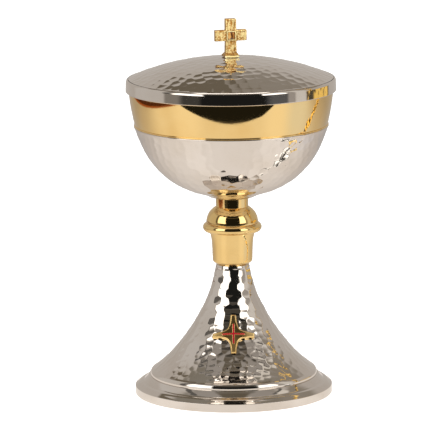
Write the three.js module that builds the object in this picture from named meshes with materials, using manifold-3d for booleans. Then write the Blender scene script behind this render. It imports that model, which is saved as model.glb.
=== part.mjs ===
// A ciborium: a covered altar cup. A hammered trumpet foot, a gilt stem, a hammered cup with a
// gilt liner, and a hammered lid with a cross on top that lifts straight off.
// Millimetres, +Z up. The origin is the middle of the foot's resting plane, and the front faces -Y.
import * as THREE from "three";
import { mergeVertices } from "three/addons/utils/BufferGeometryUtils.js";
import Module from "manifold-3d";

const wasm = await Module();
wasm.setup();

// Clearances and wall thicknesses
const FIT = 0.3; // soldered, screwed and dropped-in fits
const STONE_FIT = 0.12; // round the set stone
const LID_FIT = 0.4; // the lid's skirt round the lip of the cup
const GUIDE_FIT = 1.4; // the lid's inner ring inside the lip of the cup
const FOOT_WALL = 1.2;
const STEM_WALL = 1.6;
const SHELL_WALL = 1.0;
const LINER_WALL = 0.9;
const DOME_WALL = 1.1;
const BAND_WALL = 1.0;
const GUIDE_WALL = 1.0;
const BEZEL_WALL = 0.48;

// Foot
const FOOT_RADIUS = 58.6;
const FLANGE_WIDTH = 9.0; // from the outer edge in to the hammered cone
const FLANGE_EDGE_HEIGHT = 2.5; // upright edge of the flange
const FLANGE_FOOT_ROUND = 0.8;
const REST_WIDTH = 3.8; // lip turned in under the flange, which the cup stands on
const SEAT_Z = 11.2; // ledge in the flange that carries the cone
const SEAT_WIDTH = 3.0;
const BEAD_RADIUS = 0.4; // raised line round the seat
const CONE_RIM = 2.2; // plain rim of the cone, under its hammering
const CONE_HEIGHT = 66.1;
const CONE_TOP_RADIUS = 9.9;
const SEAT_RADIUS = FOOT_RADIUS - FLANGE_WIDTH;
const CONE_TOP_Z = SEAT_Z + CONE_HEIGHT;

// Stem, from the foot up
const SEAT_RING_RADIUS = 8.0;
const SEAT_RING_HEIGHT = 1.1;
const BELL_RADIUS = 11.85;
const BELL_TOP_RADIUS = 13.6;
const BELL_HEIGHT = 18.65;
const BELL_ROUND = 1.8;
const BELL_SKIRT = 2.6; // height of the rounded foot of the bell
const KNOP_RING_RADIUS = 17.45;
const KNOP_RING_HEIGHT = 5.4;
const DOME_KNOP_RADIUS = 15.4;
const DOME_KNOP_TOP_RADIUS = 11.2;
const DOME_KNOP_HEIGHT = 9.55;
const COLLAR_RADIUS = 9.6;
const COLLAR_HEIGHT = 6.0;
const COLLAR_FILLET = 0.3;
const ROD_RADIUS = 2.5;
const ROD_END = 2.5; // length of rod showing below its nut
const BELL_Z = CONE_TOP_Z + SEAT_RING_HEIGHT;
const KNOP_RING_Z = BELL_Z + BELL_HEIGHT;
const DOME_KNOP_Z = KNOP_RING_Z + KNOP_RING_HEIGHT;
const COLLAR_Z = DOME_KNOP_Z + DOME_KNOP_HEIGHT;

// Cup
const CUP_Z = COLLAR_Z + COLLAR_HEIGHT; // flat underside of the cup
const CUP_BASE_RADIUS = 13.2;
const SHELL_HEIGHT = 42.8;
const SHELL_RIM_RADIUS = 57.55;
const SHELL_RIM_EDGE = 0.5; // height of the shell's upright rim
const HUB_RADIUS = 6.8; // threaded boss inside the collar
const HUB_DEPTH = 2.8;
const BOSS_HEIGHT = 2.4;
const BOSS_ROOF = 1.2;
const LINER_OVERHANG = 3.4; // flat bottom of the liner, beyond the base of the cup
const LINER_STEP = 0.5; // the liner's wall starts this far in from the shell's rim
const MOUTH_HEIGHT = 22.8; // from the shell's rim to the lip
const MOUTH_FLARE = 3.15;
const LIP_EDGE = 0.4;
const BOSS_RADIUS = CUP_BASE_RADIUS - 1.4;
const SHELL_FLOOR_Z = CUP_Z + SHELL_WALL;
const LINER_Z = SHELL_FLOOR_Z + BOSS_HEIGHT; // underside of the liner
const SHELL_RIM_Z = CUP_Z + SHELL_HEIGHT;
const LINER_STEP_RADIUS = SHELL_RIM_RADIUS - LINER_STEP;
const LIP_Z = SHELL_RIM_Z + MOUTH_HEIGHT;
const LIP_RADIUS = SHELL_RIM_RADIUS + MOUTH_FLARE;

// Lid, which rests on the lip
const SKIRT_DROP = 2.4; // how far the lid's band reaches down over the lip
const BAND_TAPER = 0.2;
const BAND_SHOULDER_ROUND = 2.0;
const BAND_LEDGE = 3.6; // from the lip up to the ledge that carries the dome
const BAND_RIM = 1.6; // from the ledge up to the band's top edge
const BAND_LIP_WIDTH = 1.4; // rim of the band outside the dome, with the fit
const DOME_EDGE = 1.7; // plain rim of the dome, under its hammering
const DOME_RISE = 12.15;
const LID_TOP_RADIUS = 6.6; // flat seat of the cross
const GUIDE_REACH = 5.5; // how far the inner ring drops into the cup
const BAND_Z = LIP_Z - SKIRT_DROP;
const BAND_RADIUS = LIP_RADIUS + LID_FIT + BAND_WALL;
const BAND_TOP_RADIUS = BAND_RADIUS - BAND_TAPER;
const LID_RIM_RADIUS = BAND_TOP_RADIUS - BAND_LIP_WIDTH;
const LID_SEAT_Z = LIP_Z + BAND_LEDGE;
const LID_TOP_Z = LID_SEAT_Z + DOME_EDGE + DOME_RISE;
const GUIDE_RADIUS = LIP_RADIUS - LINER_WALL - GUIDE_FIT;

// Cross on the lid
const CROSS_TURN = THREE.MathUtils.degToRad(13.7);
const CROSS_HEIGHT = 22.95;
const CROSS_ARM_RISE = 13.05; // from the lid up to the middle of the arms
const CROSS_SPAN = 19.1;
const CROSS_ARM_HEIGHT = 6.5;
const CROSS_POST_WIDTH = 6.5;
const CROSS_FOOT_WIDTH = 6.9;
const CROSS_DEPTH = 3.4;
const CROSS_EDGE = 0.4;
const PLINTH_WIDTH = 8.7;
const PLINTH_HEIGHT = 1.5;
const PLINTH_FLARE = 1.4;
const BEZEL_HEIGHT = 1.0;
const STONE_WIDTH = 4.1;
const STONE_DEPTH = 1.1;
const STUD_RADIUS = 2.0;
const STUD_LENGTH = 6.0;
const CROSS_ARM_Z = LID_TOP_Z + CROSS_ARM_RISE;

// Emblem on the foot
const EMBLEM_RISE = 28.2; // from the cone's seat up to the middle of the emblem
const EMBLEM_REACH = 12.2; // centre to the end of an arm
const EMBLEM_WAIST = 2.55; // how near the middle the hollows between the arms are drawn
const EMBLEM_TIP = 1.45; // half the width of an arm at its end
const EMBLEM_THICK = 1.7;
const EMBLEM_EDGE_THICK = 1.0;
const EMBLEM_BEVEL = 0.8;
const EMBLEM_LIFT = 0.15; // back of the plate above the hammered skin
const ENAMEL_SPAN = 12.6;
const ENAMEL_WIDTH = 0.9;
const ENAMEL_THICK = 0.35;
const ENAMEL_LIFT = 0.05;
const PIN_RADIUS = 1.4;
const PIN_LENGTH = 6.2;

// Washers and nuts out of sight: outer radius or size across the flats, and thickness
const FOOT_WASHER_RADIUS = 6.6;
const FOOT_WASHER_THICK = 1.0;
const FOOT_NUT_FLATS = 10;
const FOOT_NUT_THICK = 5;
const PIN_WASHER_RADIUS = 3.2;
const PIN_WASHER_THICK = 0.6;
const PIN_NUT_FLATS = 5;
const PIN_NUT_THICK = 2.4;
const STUD_WASHER_RADIUS = 5.4;
const STUD_WASHER_THICK = 0.8;
const STUD_NUT_FLATS = 7;
const STUD_NUT_THICK = 3.2;

// Hammering: distance between blows and how deep they sink
const FOOT_BLOWS = { pitch: 7, depth: 0.5, seed: 1 };
const CUP_BLOWS = { pitch: 10.4, depth: 0.35, seed: 2 };
const LID_BLOWS = { pitch: 9.2, depth: 0.4, seed: 3 };
const BLOW_DRIFT = 0.3; // how far a blow strays, as a part of the pitch
const BLOW_UNEVENNESS = 0.6; // spread of the depths, as a part of the depth

// Facets round a full turn
const WIDE_TURN = 40;
const INNER_TURN = 28;
const STEM_TURN = 24;
const BOLT_TURN = 14;
const PIN_TURN = 12;

// Shapes of the outlines, as shares of the way across and of the way up between their two ends
const CONE_SHAPE = [
  [0, 0], [0.232, 0.119], [0.408, 0.239], [0.554, 0.358], [0.68, 0.476],
  [0.783, 0.593], [0.872, 0.709], [0.932, 0.823], [0.975, 0.933], [1, 1],
];
const CUP_SHAPE = [
  [0, 0], [0.06, 0.028], [0.248, 0.095], [0.432, 0.182],
  [0.632, 0.336], [0.825, 0.579], [0.941, 0.827], [1, 1],
];
const MOUTH_SHAPE = [[0, 0], [0.068, 0.117], [0.479, 0.432], [0.781, 0.752], [1, 1]];
const FLANGE_SHAPE = [
  [0, 0], [0.025, 0.205], [0.112, 0.349], [0.287, 0.47],
  [0.5, 0.554], [0.712, 0.663], [0.9, 0.819], [1, 1],
];
const BELL_SHAPE = [[0, 0], [0.057, 0.156], [0.143, 0.405], [0.257, 0.623], [0.514, 0.816], [1, 1]];
const DOME_KNOP_SHAPE = [
  [0, 0], [0.024, 0.173], [0.119, 0.361], [0.286, 0.539], [0.595, 0.738], [1, 0.906],
];

// Materials
function metal(color, roughness) {
  return new THREE.MeshStandardMaterial({ color, roughness, metalness: 1 });
}
const silver = () => metal(0xb9b2ab, 0.22);
const gilt = () => metal(0xe2bc68, 0.18);
const castGilt = () => metal(0xd9a94a, 0.45);
const steel = () => metal(0x9a9a98, 0.4);

function glassy(color, roughness) {
  return new THREE.MeshStandardMaterial({ color, roughness, metalness: 0 });
}

// Shared geometry helpers
const point = (r, z) => new THREE.Vector2(r, z);

// A smooth outline between two ends, each [radius, height]
function outlineBetween([fromR, fromZ], [toR, toZ], shape) {
  return new THREE.SplineCurve(shape.map(([across, up]) => (
    point(THREE.MathUtils.lerp(fromR, toR, across), THREE.MathUtils.lerp(fromZ, toZ, up))
  )));
}

// Points of a rounded edge about a centre, between two angles in degrees
function rounded(r, z, radius, from, to, steps = 3) {
  return Array.from({ length: steps + 1 }, (_, i) => {
    const a = THREE.MathUtils.degToRad(from + ((to - from) * i) / steps);
    return point(r + radius * Math.cos(a), z + radius * Math.sin(a));
  });
}

// Points along an outline, moved inwards from its outer side
function along(line, inset, steps, from = 0, to = 1) {
  return Array.from({ length: steps + 1 }, (_, i) => {
    const u = THREE.MathUtils.lerp(from, to, i / steps);
    const at = line.getPointAt(u);
    const way = line.getTangentAt(u);
    return point(at.x - inset * way.y, at.y + inset * way.x);
  });
}

// One closed solid from position and index data: shared vertices merged, empty triangles dropped
function solid(geometry) {
  const bare = new THREE.BufferGeometry();
  bare.setAttribute("position", geometry.getAttribute("position"));
  bare.setIndex(geometry.getIndex());
  const merged = mergeVertices(bare, 1e-4);
  const index = merged.getIndex().array;
  const kept = [];
  for (let i = 0; i < index.length; i += 3) {
    const [a, b, c] = [index[i], index[i + 1], index[i + 2]];
    if (a !== b && b !== c && c !== a) kept.push(a, b, c);
  }
  merged.setIndex(kept);
  return merged;
}

// A solid of revolution about Z. The outline runs anticlockwise round the section, with +Z up.
function turned(outline, segments) {
  const geometry = new THREE.LatheGeometry([...outline, outline[0]], segments);
  geometry.rotateX(Math.PI / 2);
  return solid(geometry);
}

// A plain washer or ring between two radii and two heights
function ring(inner, outer, bottom, top, segments) {
  return turned([point(inner, bottom), point(outer, bottom), point(outer, top), point(inner, top)], segments);
}

// A round bar on the Z axis
function bar(radius, bottom, top, segments = BOLT_TURN) {
  const geometry = new THREE.CylinderGeometry(radius, radius, top - bottom, segments);
  geometry.rotateX(Math.PI / 2);
  geometry.translate(0, 0, (top + bottom) / 2);
  return solid(geometry);
}

// A six-sided nut with its bore
function hexNut(acrossFlats, bore, bottom, top) {
  const corner = point(acrossFlats / Math.sqrt(3), 0);
  const middle = point(0, 0);
  const turns = [0, 1, 2, 3, 4, 5].map((i) => (i * Math.PI) / 3);
  const shape = new THREE.Shape(turns.map((turn) => corner.clone().rotateAround(middle, turn)));
  shape.holes.push(new THREE.Path().absarc(0, 0, bore, 0, 2 * Math.PI, true));
  const geometry = new THREE.ExtrudeGeometry(shape, {
    depth: top - bottom,
    bevelEnabled: false,
    curveSegments: 8,
  });
  geometry.translate(0, 0, bottom);
  return solid(geometry);
}

// To and from the solids that booleans join and cut
function toSolid(geometry) {
  const merged = solid(geometry);
  return new wasm.Manifold(new wasm.Mesh({
    numProp: 3,
    vertProperties: new Float32Array(merged.getAttribute("position").array),
    triVerts: new Uint32Array(merged.getIndex().array),
  }));
}

function fromSolid(body) {
  const mesh = body.getMesh();
  const geometry = new THREE.BufferGeometry();
  geometry.setAttribute("position", new THREE.BufferAttribute(new Float32Array(mesh.vertProperties), 3));
  geometry.setIndex(new THREE.BufferAttribute(new Uint32Array(mesh.triVerts), 1));
  return geometry;
}

// Hammered walls. Blows are laid in rows round an outline. Each blow is a hollow: its middle is sunk,
// and the ridges round it, where it meets its neighbours, stay on the outline.
function wobble(a, b, seed) {
  const own = (seed * 1000 + a) * 1000 + b;
  return THREE.MathUtils.seededRandom(own) - 0.5;
}

// Triangles between two rings of points, each listed by growing angle
function zip(lower, upper) {
  const faces = [];
  const angleAt = (rim, i) => rim[i % rim.length].angle + 2 * Math.PI * Math.floor(i / rim.length);
  let i = 0;
  let j = 0;
  while (i < lower.length || j < upper.length) {
    const lowerIsNext = i < lower.length && angleAt(lower, i + 1) <= angleAt(upper, j + 1);
    const stepLower = j >= upper.length || lowerIsNext;
    const a = lower[i % lower.length];
    const b = upper[j % upper.length];
    if (stepLower) {
      i += 1;
      faces.push([a, lower[i % lower.length], b]);
    } else {
      j += 1;
      faces.push([a, upper[j % upper.length], b]);
    }
  }
  return faces;
}

function plainRim({ x: r, y: z }, count) {
  return Array.from({ length: count }, (_, i) => {
    const angle = (2 * Math.PI * i) / count;
    return { angle, at: new THREE.Vector3(r * Math.cos(angle), r * Math.sin(angle), z) };
  });
}

// A point on an outline swung to an angle, sunk below the surface by a depth
function onLine(line, u, angle, sink = 0) {
  const at = line.getPointAt(u);
  const way = line.getTangentAt(u);
  const r = at.x - sink * way.y;
  return { angle, u, at: new THREE.Vector3(r * Math.cos(angle), r * Math.sin(angle), at.y + sink * way.x) };
}

// Blows stand in staggered rows, each moved a little off its even place and struck more or less deeply
function blowRows(line, { pitch, depth, seed }, from, to) {
  const length = line.getLength() * (to - from);
  const rows = Math.round(length / (pitch * Math.cos(Math.PI / 6)));
  return Array.from({ length: rows }, (_, row) => {
    const u = from + ((row + 0.5) / rows) * (to - from);
    const count = Math.round((2 * Math.PI * line.getPointAt(u).x) / pitch);
    return Array.from({ length: count }, (_unused, i) => {
      const place = i + 0.5 * (row % 2) + BLOW_DRIFT * wobble(i, row, seed);
      const shift = (BLOW_DRIFT * wobble(row, i, seed + 5) * (to - from)) / rows;
      const sink = depth * (1 + BLOW_UNEVENNESS * wobble(i, row, seed + 9));
      return onLine(line, u + shift, ((place + 0.25) * 2 * Math.PI) / count, sink);
    });
  });
}

// The face of each blow: a fan from its sunk middle to the ridge points round it
function hammeredSkin(line, blows, from, to) {
  const rows = blowRows(line, blows, from, to);
  const faces = [];
  const ridges = new Map(rows.flat().map((blow) => [blow, new Map()]));

  for (let row = 0; row + 1 < rows.length; row += 1) {
    for (const corners of zip(rows[row], rows[row + 1])) {
      const middle = new THREE.Vector3();
      corners.forEach((corner) => middle.add(corner.at));
      const u = corners.reduce((sum, corner) => sum + corner.u, 0) / corners.length;
      const ridge = onLine(line, u, Math.atan2(middle.y, middle.x));
      corners.forEach((corner, i) => ridges.get(corner).set(corners[(i + 1) % corners.length], ridge));
    }
  }

  // Ridge points on the two rims stand between the blows of the first and the last row
  const rimFor = (row, u) => row.map((blow, i) => {
    const next = row[(i + 1) % row.length];
    const turn = i + 1 < row.length ? 0 : 2 * Math.PI;
    return onLine(line, u, (blow.angle + next.angle + turn) / 2);
  });
  const first = rows[0];
  const last = rows[rows.length - 1];
  const bottom = rimFor(first, from);
  const top = rimFor(last, to);
  first.forEach((blow, i) => {
    const before = (i + first.length - 1) % first.length;
    ridges.get(first[(i + 1) % first.length]).set(blow, bottom[i]);
    faces.push([blow, bottom[before], bottom[i]]);
  });
  last.forEach((blow, i) => {
    const before = (i + last.length - 1) % last.length;
    ridges.get(blow).set(last[(i + 1) % last.length], top[i]);
    faces.push([blow, top[i], top[before]]);
  });

  for (const [blow, around] of ridges) {
    for (const [other, left] of around) faces.push([blow, ridges.get(other).get(blow), left]);
  }
  return { faces, bottom, top };
}

// A wall with a hammered outer face, closed by plain rings from its top rim round to its bottom rim
function hammeredWall(line, blows, from, to, closing) {
  const { faces, bottom, top } = hammeredSkin(line, blows, from, to);
  const rims = closing.map(({ at, count }) => plainRim(at, count));
  const loop = [top, ...rims, bottom];
  for (let i = 0; i + 1 < loop.length; i += 1) faces.push(...zip(loop[i], loop[i + 1]));
  const geometry = new THREE.BufferGeometry();
  const positions = faces.flat().flatMap(({ at }) => [at.x, at.y, at.z]);
  geometry.setAttribute("position", new THREE.Float32BufferAttribute(positions, 3));
  return solid(geometry);
}

const rims = (points, count) => points.map((at) => ({ at, count }));

// A solid skinned over rings of equal length, closed by a fan to a middle point at each end
function loft(loops, firstMiddle, lastMiddle) {
  const triangles = [];
  const count = loops[0].length;
  for (let i = 0; i < count; i += 1) {
    const next = (i + 1) % count;
    triangles.push(firstMiddle, loops[0][next], loops[0][i]);
    for (let k = 0; k + 1 < loops.length; k += 1) {
      triangles.push(loops[k][i], loops[k][next], loops[k + 1][next]);
      triangles.push(loops[k][i], loops[k + 1][next], loops[k + 1][i]);
    }
    triangles.push(lastMiddle, loops[loops.length - 1][i], loops[loops.length - 1][next]);
  }
  const geometry = new THREE.BufferGeometry();
  const positions = triangles.flatMap((at) => [at.x, at.y, at.z]);
  geometry.setAttribute("position", new THREE.Float32BufferAttribute(positions, 3));
  return solid(geometry);
}

// A stack of rectangles, each given as [width, depth, height], skinned into one block
function rectangles(sections) {
  const loops = sections.map(([w, d, z]) => [[-1, -1], [1, -1], [1, 1], [-1, 1]].map(
    ([x, y]) => new THREE.Vector3((x * w) / 2, (y * d) / 2, z),
  ));
  const middle = (z) => new THREE.Vector3(0, 0, z);
  return loft(loops, middle(sections[0][2]), middle(sections[sections.length - 1][2]));
}

// Foot: a polished flange and the hammered cone that stands in it
const coneLine = outlineBetween(
  [SEAT_RADIUS, SEAT_Z + CONE_RIM],
  [CONE_TOP_RADIUS, CONE_TOP_Z],
  CONE_SHAPE,
);
const CONE_HAMMERED_TO = 0.94;

function footFlange() {
  const beadCentre = SEAT_RADIUS + FIT + BEAD_RADIUS;
  const beadFoot = 0.2; // half the height of the bead's upright sides
  const top = outlineBetween(
    [FOOT_RADIUS, FLANGE_EDGE_HEIGHT],
    [beadCentre + BEAD_RADIUS, SEAT_Z - beadFoot],
    FLANGE_SHAPE,
  );
  return turned([
    point(FOOT_RADIUS - REST_WIDTH, 0),
    ...rounded(FOOT_RADIUS - FLANGE_FOOT_ROUND, FLANGE_FOOT_ROUND, FLANGE_FOOT_ROUND, -90, 0, 2),
    ...along(top, 0, 7),
    ...rounded(beadCentre, SEAT_Z + beadFoot, BEAD_RADIUS, 30, 180, 3),
    point(SEAT_RADIUS + FIT, SEAT_Z),
    point(SEAT_RADIUS - SEAT_WIDTH, SEAT_Z),
    point(SEAT_RADIUS - SEAT_WIDTH, SEAT_Z - FOOT_WALL),
    ...along(top, FOOT_WALL, 4, 0.93, 0),
    point(FOOT_RADIUS - FOOT_WALL, FOOT_WALL),
    point(FOOT_RADIUS - REST_WIDTH, FOOT_WALL),
  ], WIDE_TURN);
}

function footCone() {
  const bore = ROD_RADIUS + FIT;
  const underside = CONE_TOP_Z - FOOT_WALL;
  const wall = hammeredWall(coneLine, FOOT_BLOWS, 0, CONE_HAMMERED_TO, [
    ...rims([point(CONE_TOP_RADIUS, CONE_TOP_Z)], STEM_TURN),
    ...rims([point(bore, CONE_TOP_Z), point(bore, underside)], BOLT_TURN),
    ...rims([point(CONE_TOP_RADIUS - FOOT_WALL, underside)], INNER_TURN),
    ...rims(along(coneLine, FOOT_WALL, 7, 0.95, 0), INNER_TURN),
    ...rims([point(SEAT_RADIUS - FOOT_WALL, SEAT_Z), point(SEAT_RADIUS, SEAT_Z)], WIDE_TURN),
  ]);
  const hole = bar(PIN_RADIUS + FIT, -2 * FOOT_WALL, FOOT_WALL, PIN_TURN);
  hole.applyMatrix4(emblemPlace());
  return fromSolid(toSolid(wall).subtract(toSolid(hole)));
}

// Emblem: a four-armed plate cut flat and bent to the cone, so its arms run straight over the surface
function fractionAtHeight(line, z) {
  let low = 0;
  let high = 1;
  while (high - low > 1e-6) {
    const middle = (low + high) / 2;
    if (line.getPointAt(middle).y < z) low = middle;
    else high = middle;
  }
  return low;
}

const emblemU = fractionAtHeight(coneLine, SEAT_Z + EMBLEM_RISE);
const emblemSlope = coneLine.getTangentAt(emblemU);

// Frame of the emblem: X across, Y up the slope, Z out of the cone
function emblemPlace() {
  const across = new THREE.Vector3(1, 0, 0);
  const up = new THREE.Vector3(0, -emblemSlope.x, emblemSlope.y);
  const out = new THREE.Vector3().crossVectors(across, up);
  const at = onLine(coneLine, emblemU, -Math.PI / 2).at;
  return new THREE.Matrix4().makeBasis(across, up, out).setPosition(at);
}

// A point of the flat plate, laid on the cone at a height above its surface
function bent(x, y, lift) {
  const toApex = coneLine.getPointAt(emblemU).x / -emblemSlope.x;
  const reach = Math.hypot(x, toApex - y);
  const turn = Math.atan2(x, toApex - y) / -emblemSlope.x;
  const u = emblemU + (toApex - reach) / coneLine.getLength();
  return onLine(coneLine, u, turn - Math.PI / 2, -lift).at;
}

function emblemOutline() {
  const hollow = new THREE.CubicBezierCurve(
    point(EMBLEM_REACH, EMBLEM_TIP),
    point(EMBLEM_WAIST, EMBLEM_WAIST),
    point(EMBLEM_WAIST, EMBLEM_WAIST),
    point(EMBLEM_TIP, EMBLEM_REACH),
  );
  const middle = point(0, 0);
  const quarter = [point(EMBLEM_REACH, 0), ...hollow.getPoints(6)];
  return [0, 1, 2, 3].flatMap((k) => quarter.map((at) => at.clone().rotateAround(middle, (k * Math.PI) / 2)));
}

// The outline moved inwards by a distance, along the mean direction of the edges at each point
function inset(outline, distance) {
  return outline.map((at, i) => {
    const before = outline[(i + outline.length - 1) % outline.length];
    const after = outline[(i + 1) % outline.length];
    const way = after.clone().sub(before).normalize();
    return point(at.x - way.y * distance, at.y + way.x * distance);
  });
}

function emblemPlate() {
  const outline = emblemOutline();
  const face = inset(outline, EMBLEM_BEVEL);
  const loop = (points, scale, lift) => points.map((at) => bent(at.x * scale, at.y * scale, lift));
  const back = EMBLEM_LIFT;
  const front = EMBLEM_LIFT + EMBLEM_THICK;
  return loft([
    ...[0.25, 0.5, 0.75, 1].map((scale) => loop(outline, scale, back)),
    loop(outline, 1, EMBLEM_LIFT + EMBLEM_EDGE_THICK),
    ...[1, 0.75, 0.5, 0.25].map((scale) => loop(face, scale, front)),
  ], bent(0, 0, back), bent(0, 0, front));
}

// The enamel is two strips laid over the face and joined where they cross
function emblemEnamel() {
  const half = ENAMEL_WIDTH / 2;
  const low = EMBLEM_LIFT + EMBLEM_THICK + ENAMEL_LIFT;
  const high = low + ENAMEL_THICK;
  const section = [[-half, low], [half, low], [half, high], [-half, high]];
  const strip = (place) => {
    const stations = [-1, -0.75, -0.5, -0.25, 0, 0.25, 0.5, 0.75, 1].map((part) => (part * ENAMEL_SPAN) / 2);
    const loops = stations.map((along) => section.map(([across, lift]) => place(along, across, lift)));
    const middle = (along) => place(along, 0, (low + high) / 2);
    return toSolid(loft(loops, middle(stations[0]), middle(stations[stations.length - 1])));
  };
  const acrossStrip = strip((along, across, lift) => bent(along, across, lift));
  const upStrip = strip((along, across, lift) => bent(-across, along, lift));
  return fromSolid(acrossStrip.add(upStrip));
}

// Stem
function knopBell() {
  const bore = ROD_RADIUS + FIT;
  const side = outlineBetween(
    [BELL_RADIUS, BELL_Z + BELL_SKIRT],
    [BELL_TOP_RADIUS, KNOP_RING_Z],
    BELL_SHAPE,
  );
  const top = KNOP_RING_Z - STEM_WALL;
  return turned([
    point(SEAT_RING_RADIUS - STEM_WALL, BELL_Z),
    ...rounded(BELL_RADIUS - BELL_ROUND, BELL_Z + BELL_ROUND, BELL_ROUND, -90, -18),
    ...along(side, 0, 4),
    point(bore, KNOP_RING_Z),
    point(bore, top),
    point(BELL_RADIUS + 1 - STEM_WALL, top),
    ...along(side, STEM_WALL, 2, 0.75, 0.1),
    point(SEAT_RING_RADIUS - STEM_WALL, BELL_Z + 2 * STEM_WALL),
  ], STEM_TURN);
}

function knopRing() {
  const half = KNOP_RING_HEIGHT / 2;
  const bore = ROD_RADIUS + FIT;
  return turned([
    point(bore, KNOP_RING_Z),
    ...rounded(KNOP_RING_RADIUS - half, KNOP_RING_Z + half, half, -90, 90, 8),
    point(bore, DOME_KNOP_Z),
  ], STEM_TURN);
}

function knopDome() {
  const side = outlineBetween(
    [DOME_KNOP_RADIUS, DOME_KNOP_Z],
    [DOME_KNOP_TOP_RADIUS, COLLAR_Z],
    DOME_KNOP_SHAPE,
  );
  const underside = COLLAR_Z - STEM_WALL;
  const bore = ROD_RADIUS + FIT;
  return turned([
    ...along(side, 0, 5),
    point(COLLAR_RADIUS + COLLAR_FILLET, COLLAR_Z),
    point(bore, COLLAR_Z),
    point(bore, underside),
    point(DOME_KNOP_TOP_RADIUS - 1.4 * STEM_WALL, underside),
    ...along(side, STEM_WALL, 3, 0.9, 0).slice(0, -1),
    point(DOME_KNOP_RADIUS - STEM_WALL, DOME_KNOP_Z),
  ], STEM_TURN);
}

function collar() {
  return ring(HUB_RADIUS + FIT, COLLAR_RADIUS, COLLAR_Z, CUP_Z, STEM_TURN);
}

// Cup: a hammered shell, a threaded boss in its bottom, and a gilt liner standing on the boss
const cupLine = outlineBetween(
  [CUP_BASE_RADIUS, CUP_Z],
  [SHELL_RIM_RADIUS - 0.15, SHELL_RIM_Z - SHELL_RIM_EDGE],
  CUP_SHAPE,
);

function cupShell() {
  const hole = HUB_RADIUS + FIT;
  return hammeredWall(cupLine, CUP_BLOWS, 0.03, 0.985, [
    ...rims([
      point(SHELL_RIM_RADIUS, SHELL_RIM_Z - SHELL_RIM_EDGE),
      point(SHELL_RIM_RADIUS, SHELL_RIM_Z),
      point(SHELL_RIM_RADIUS - SHELL_WALL, SHELL_RIM_Z),
    ], WIDE_TURN),
    ...rims(along(cupLine, SHELL_WALL, 7, 0.97, 0.03), INNER_TURN),
    ...rims([
      point(CUP_BASE_RADIUS - 0.4, SHELL_FLOOR_Z),
      point(hole, SHELL_FLOOR_Z),
      point(hole, CUP_Z),
      point(CUP_BASE_RADIUS - 0.3, CUP_Z),
    ], STEM_TURN),
  ]);
}

function cupBoss() {
  const thread = ROD_RADIUS + FIT;
  const hubFoot = CUP_Z - HUB_DEPTH;
  return turned([
    point(thread, hubFoot),
    point(HUB_RADIUS, hubFoot),
    point(HUB_RADIUS, SHELL_FLOOR_Z),
    point(BOSS_RADIUS, SHELL_FLOOR_Z),
    point(BOSS_RADIUS, LINER_Z),
    point(0, LINER_Z),
    point(0, LINER_Z - BOSS_ROOF),
    point(thread, LINER_Z - BOSS_ROOF),
  ], STEM_TURN);
}

function cupLiner() {
  const mouth = outlineBetween(
    [LINER_STEP_RADIUS, SHELL_RIM_Z + 0.2],
    [LIP_RADIUS, LIP_Z - LIP_EDGE],
    MOUTH_SHAPE,
  );
  const outside = SHELL_WALL + 2 * FIT;
  const inside = outside + LINER_WALL;
  const flat = CUP_BASE_RADIUS + LINER_OVERHANG;
  const bowl = [0.1, 0.97];
  return turned([
    point(0, LINER_Z),
    point(flat, LINER_Z),
    ...along(cupLine, outside, 5, ...bowl),
    point(SHELL_RIM_RADIUS - SHELL_WALL - FIT, SHELL_RIM_Z),
    point(LINER_STEP_RADIUS, SHELL_RIM_Z),
    ...along(mouth, 0, 3),
    point(LIP_RADIUS - 0.25, LIP_Z),
    point(LIP_RADIUS - LINER_WALL, LIP_Z),
    ...along(mouth, LINER_WALL, 2, 0.97, 0),
    ...along(cupLine, inside, 6, bowl[1], bowl[0]),
    point(flat, LINER_Z + LINER_WALL),
    point(0, LINER_Z + LINER_WALL),
  ], WIDE_TURN);
}

// Lid: a polished band, a hammered dome set into it, and a ring that drops into the cup's mouth
// The dome's side is an arc about a centre on the axis, far below
const domeSpan = LID_RIM_RADIUS ** 2 - LID_TOP_RADIUS ** 2;
const domeCentre = LID_TOP_Z - (domeSpan + DOME_RISE ** 2) / (2 * DOME_RISE);
const domeBow = Math.hypot(LID_TOP_RADIUS, LID_TOP_Z - domeCentre);
const domeLine = new THREE.SplineCurve([0, 0.2, 0.4, 0.6, 0.8, 1].map((part) => {
  const r = THREE.MathUtils.lerp(LID_RIM_RADIUS, LID_TOP_RADIUS, part);
  return point(r, domeCentre + Math.sqrt(domeBow ** 2 - r ** 2));
}));

function lidBand() {
  const skirt = BAND_RADIUS - BAND_WALL;
  const bore = GUIDE_RADIUS + FIT;
  const socket = LID_RIM_RADIUS + FIT;
  const round = BAND_SHOULDER_ROUND;
  const centre = BAND_TOP_RADIUS - round;
  const turn = Math.acos((socket - centre) / round);
  const shoulder = LID_SEAT_Z + BAND_RIM - round * Math.sin(turn);
  return turned([
    point(skirt, BAND_Z),
    point(BAND_RADIUS - BAND_WALL / 2, BAND_Z),
    point(BAND_RADIUS, BAND_Z + BAND_WALL / 2),
    ...rounded(centre, shoulder, round, 0, THREE.MathUtils.radToDeg(turn), 3),
    point(socket, LID_SEAT_Z),
    point(bore, LID_SEAT_Z),
    point(bore, LIP_Z),
    point(skirt, LIP_Z),
  ], WIDE_TURN);
}

function lidDome() {
  const hole = STUD_RADIUS + FIT;
  const underside = LID_TOP_Z - DOME_WALL;
  return hammeredWall(domeLine, LID_BLOWS, 0, 0.985, [
    ...rims([point(LID_TOP_RADIUS, LID_TOP_Z)], STEM_TURN),
    ...rims([point(hole, LID_TOP_Z), point(hole, underside)], BOLT_TURN),
    ...rims([point(LID_TOP_RADIUS, underside)], STEM_TURN),
    ...rims(along(domeLine, DOME_WALL, 4, 0.97, 0.05), INNER_TURN),
    ...rims([
      point(GUIDE_RADIUS + FIT, LID_SEAT_Z),
      point(LID_RIM_RADIUS, LID_SEAT_Z),
    ], WIDE_TURN),
  ]);
}

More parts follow.
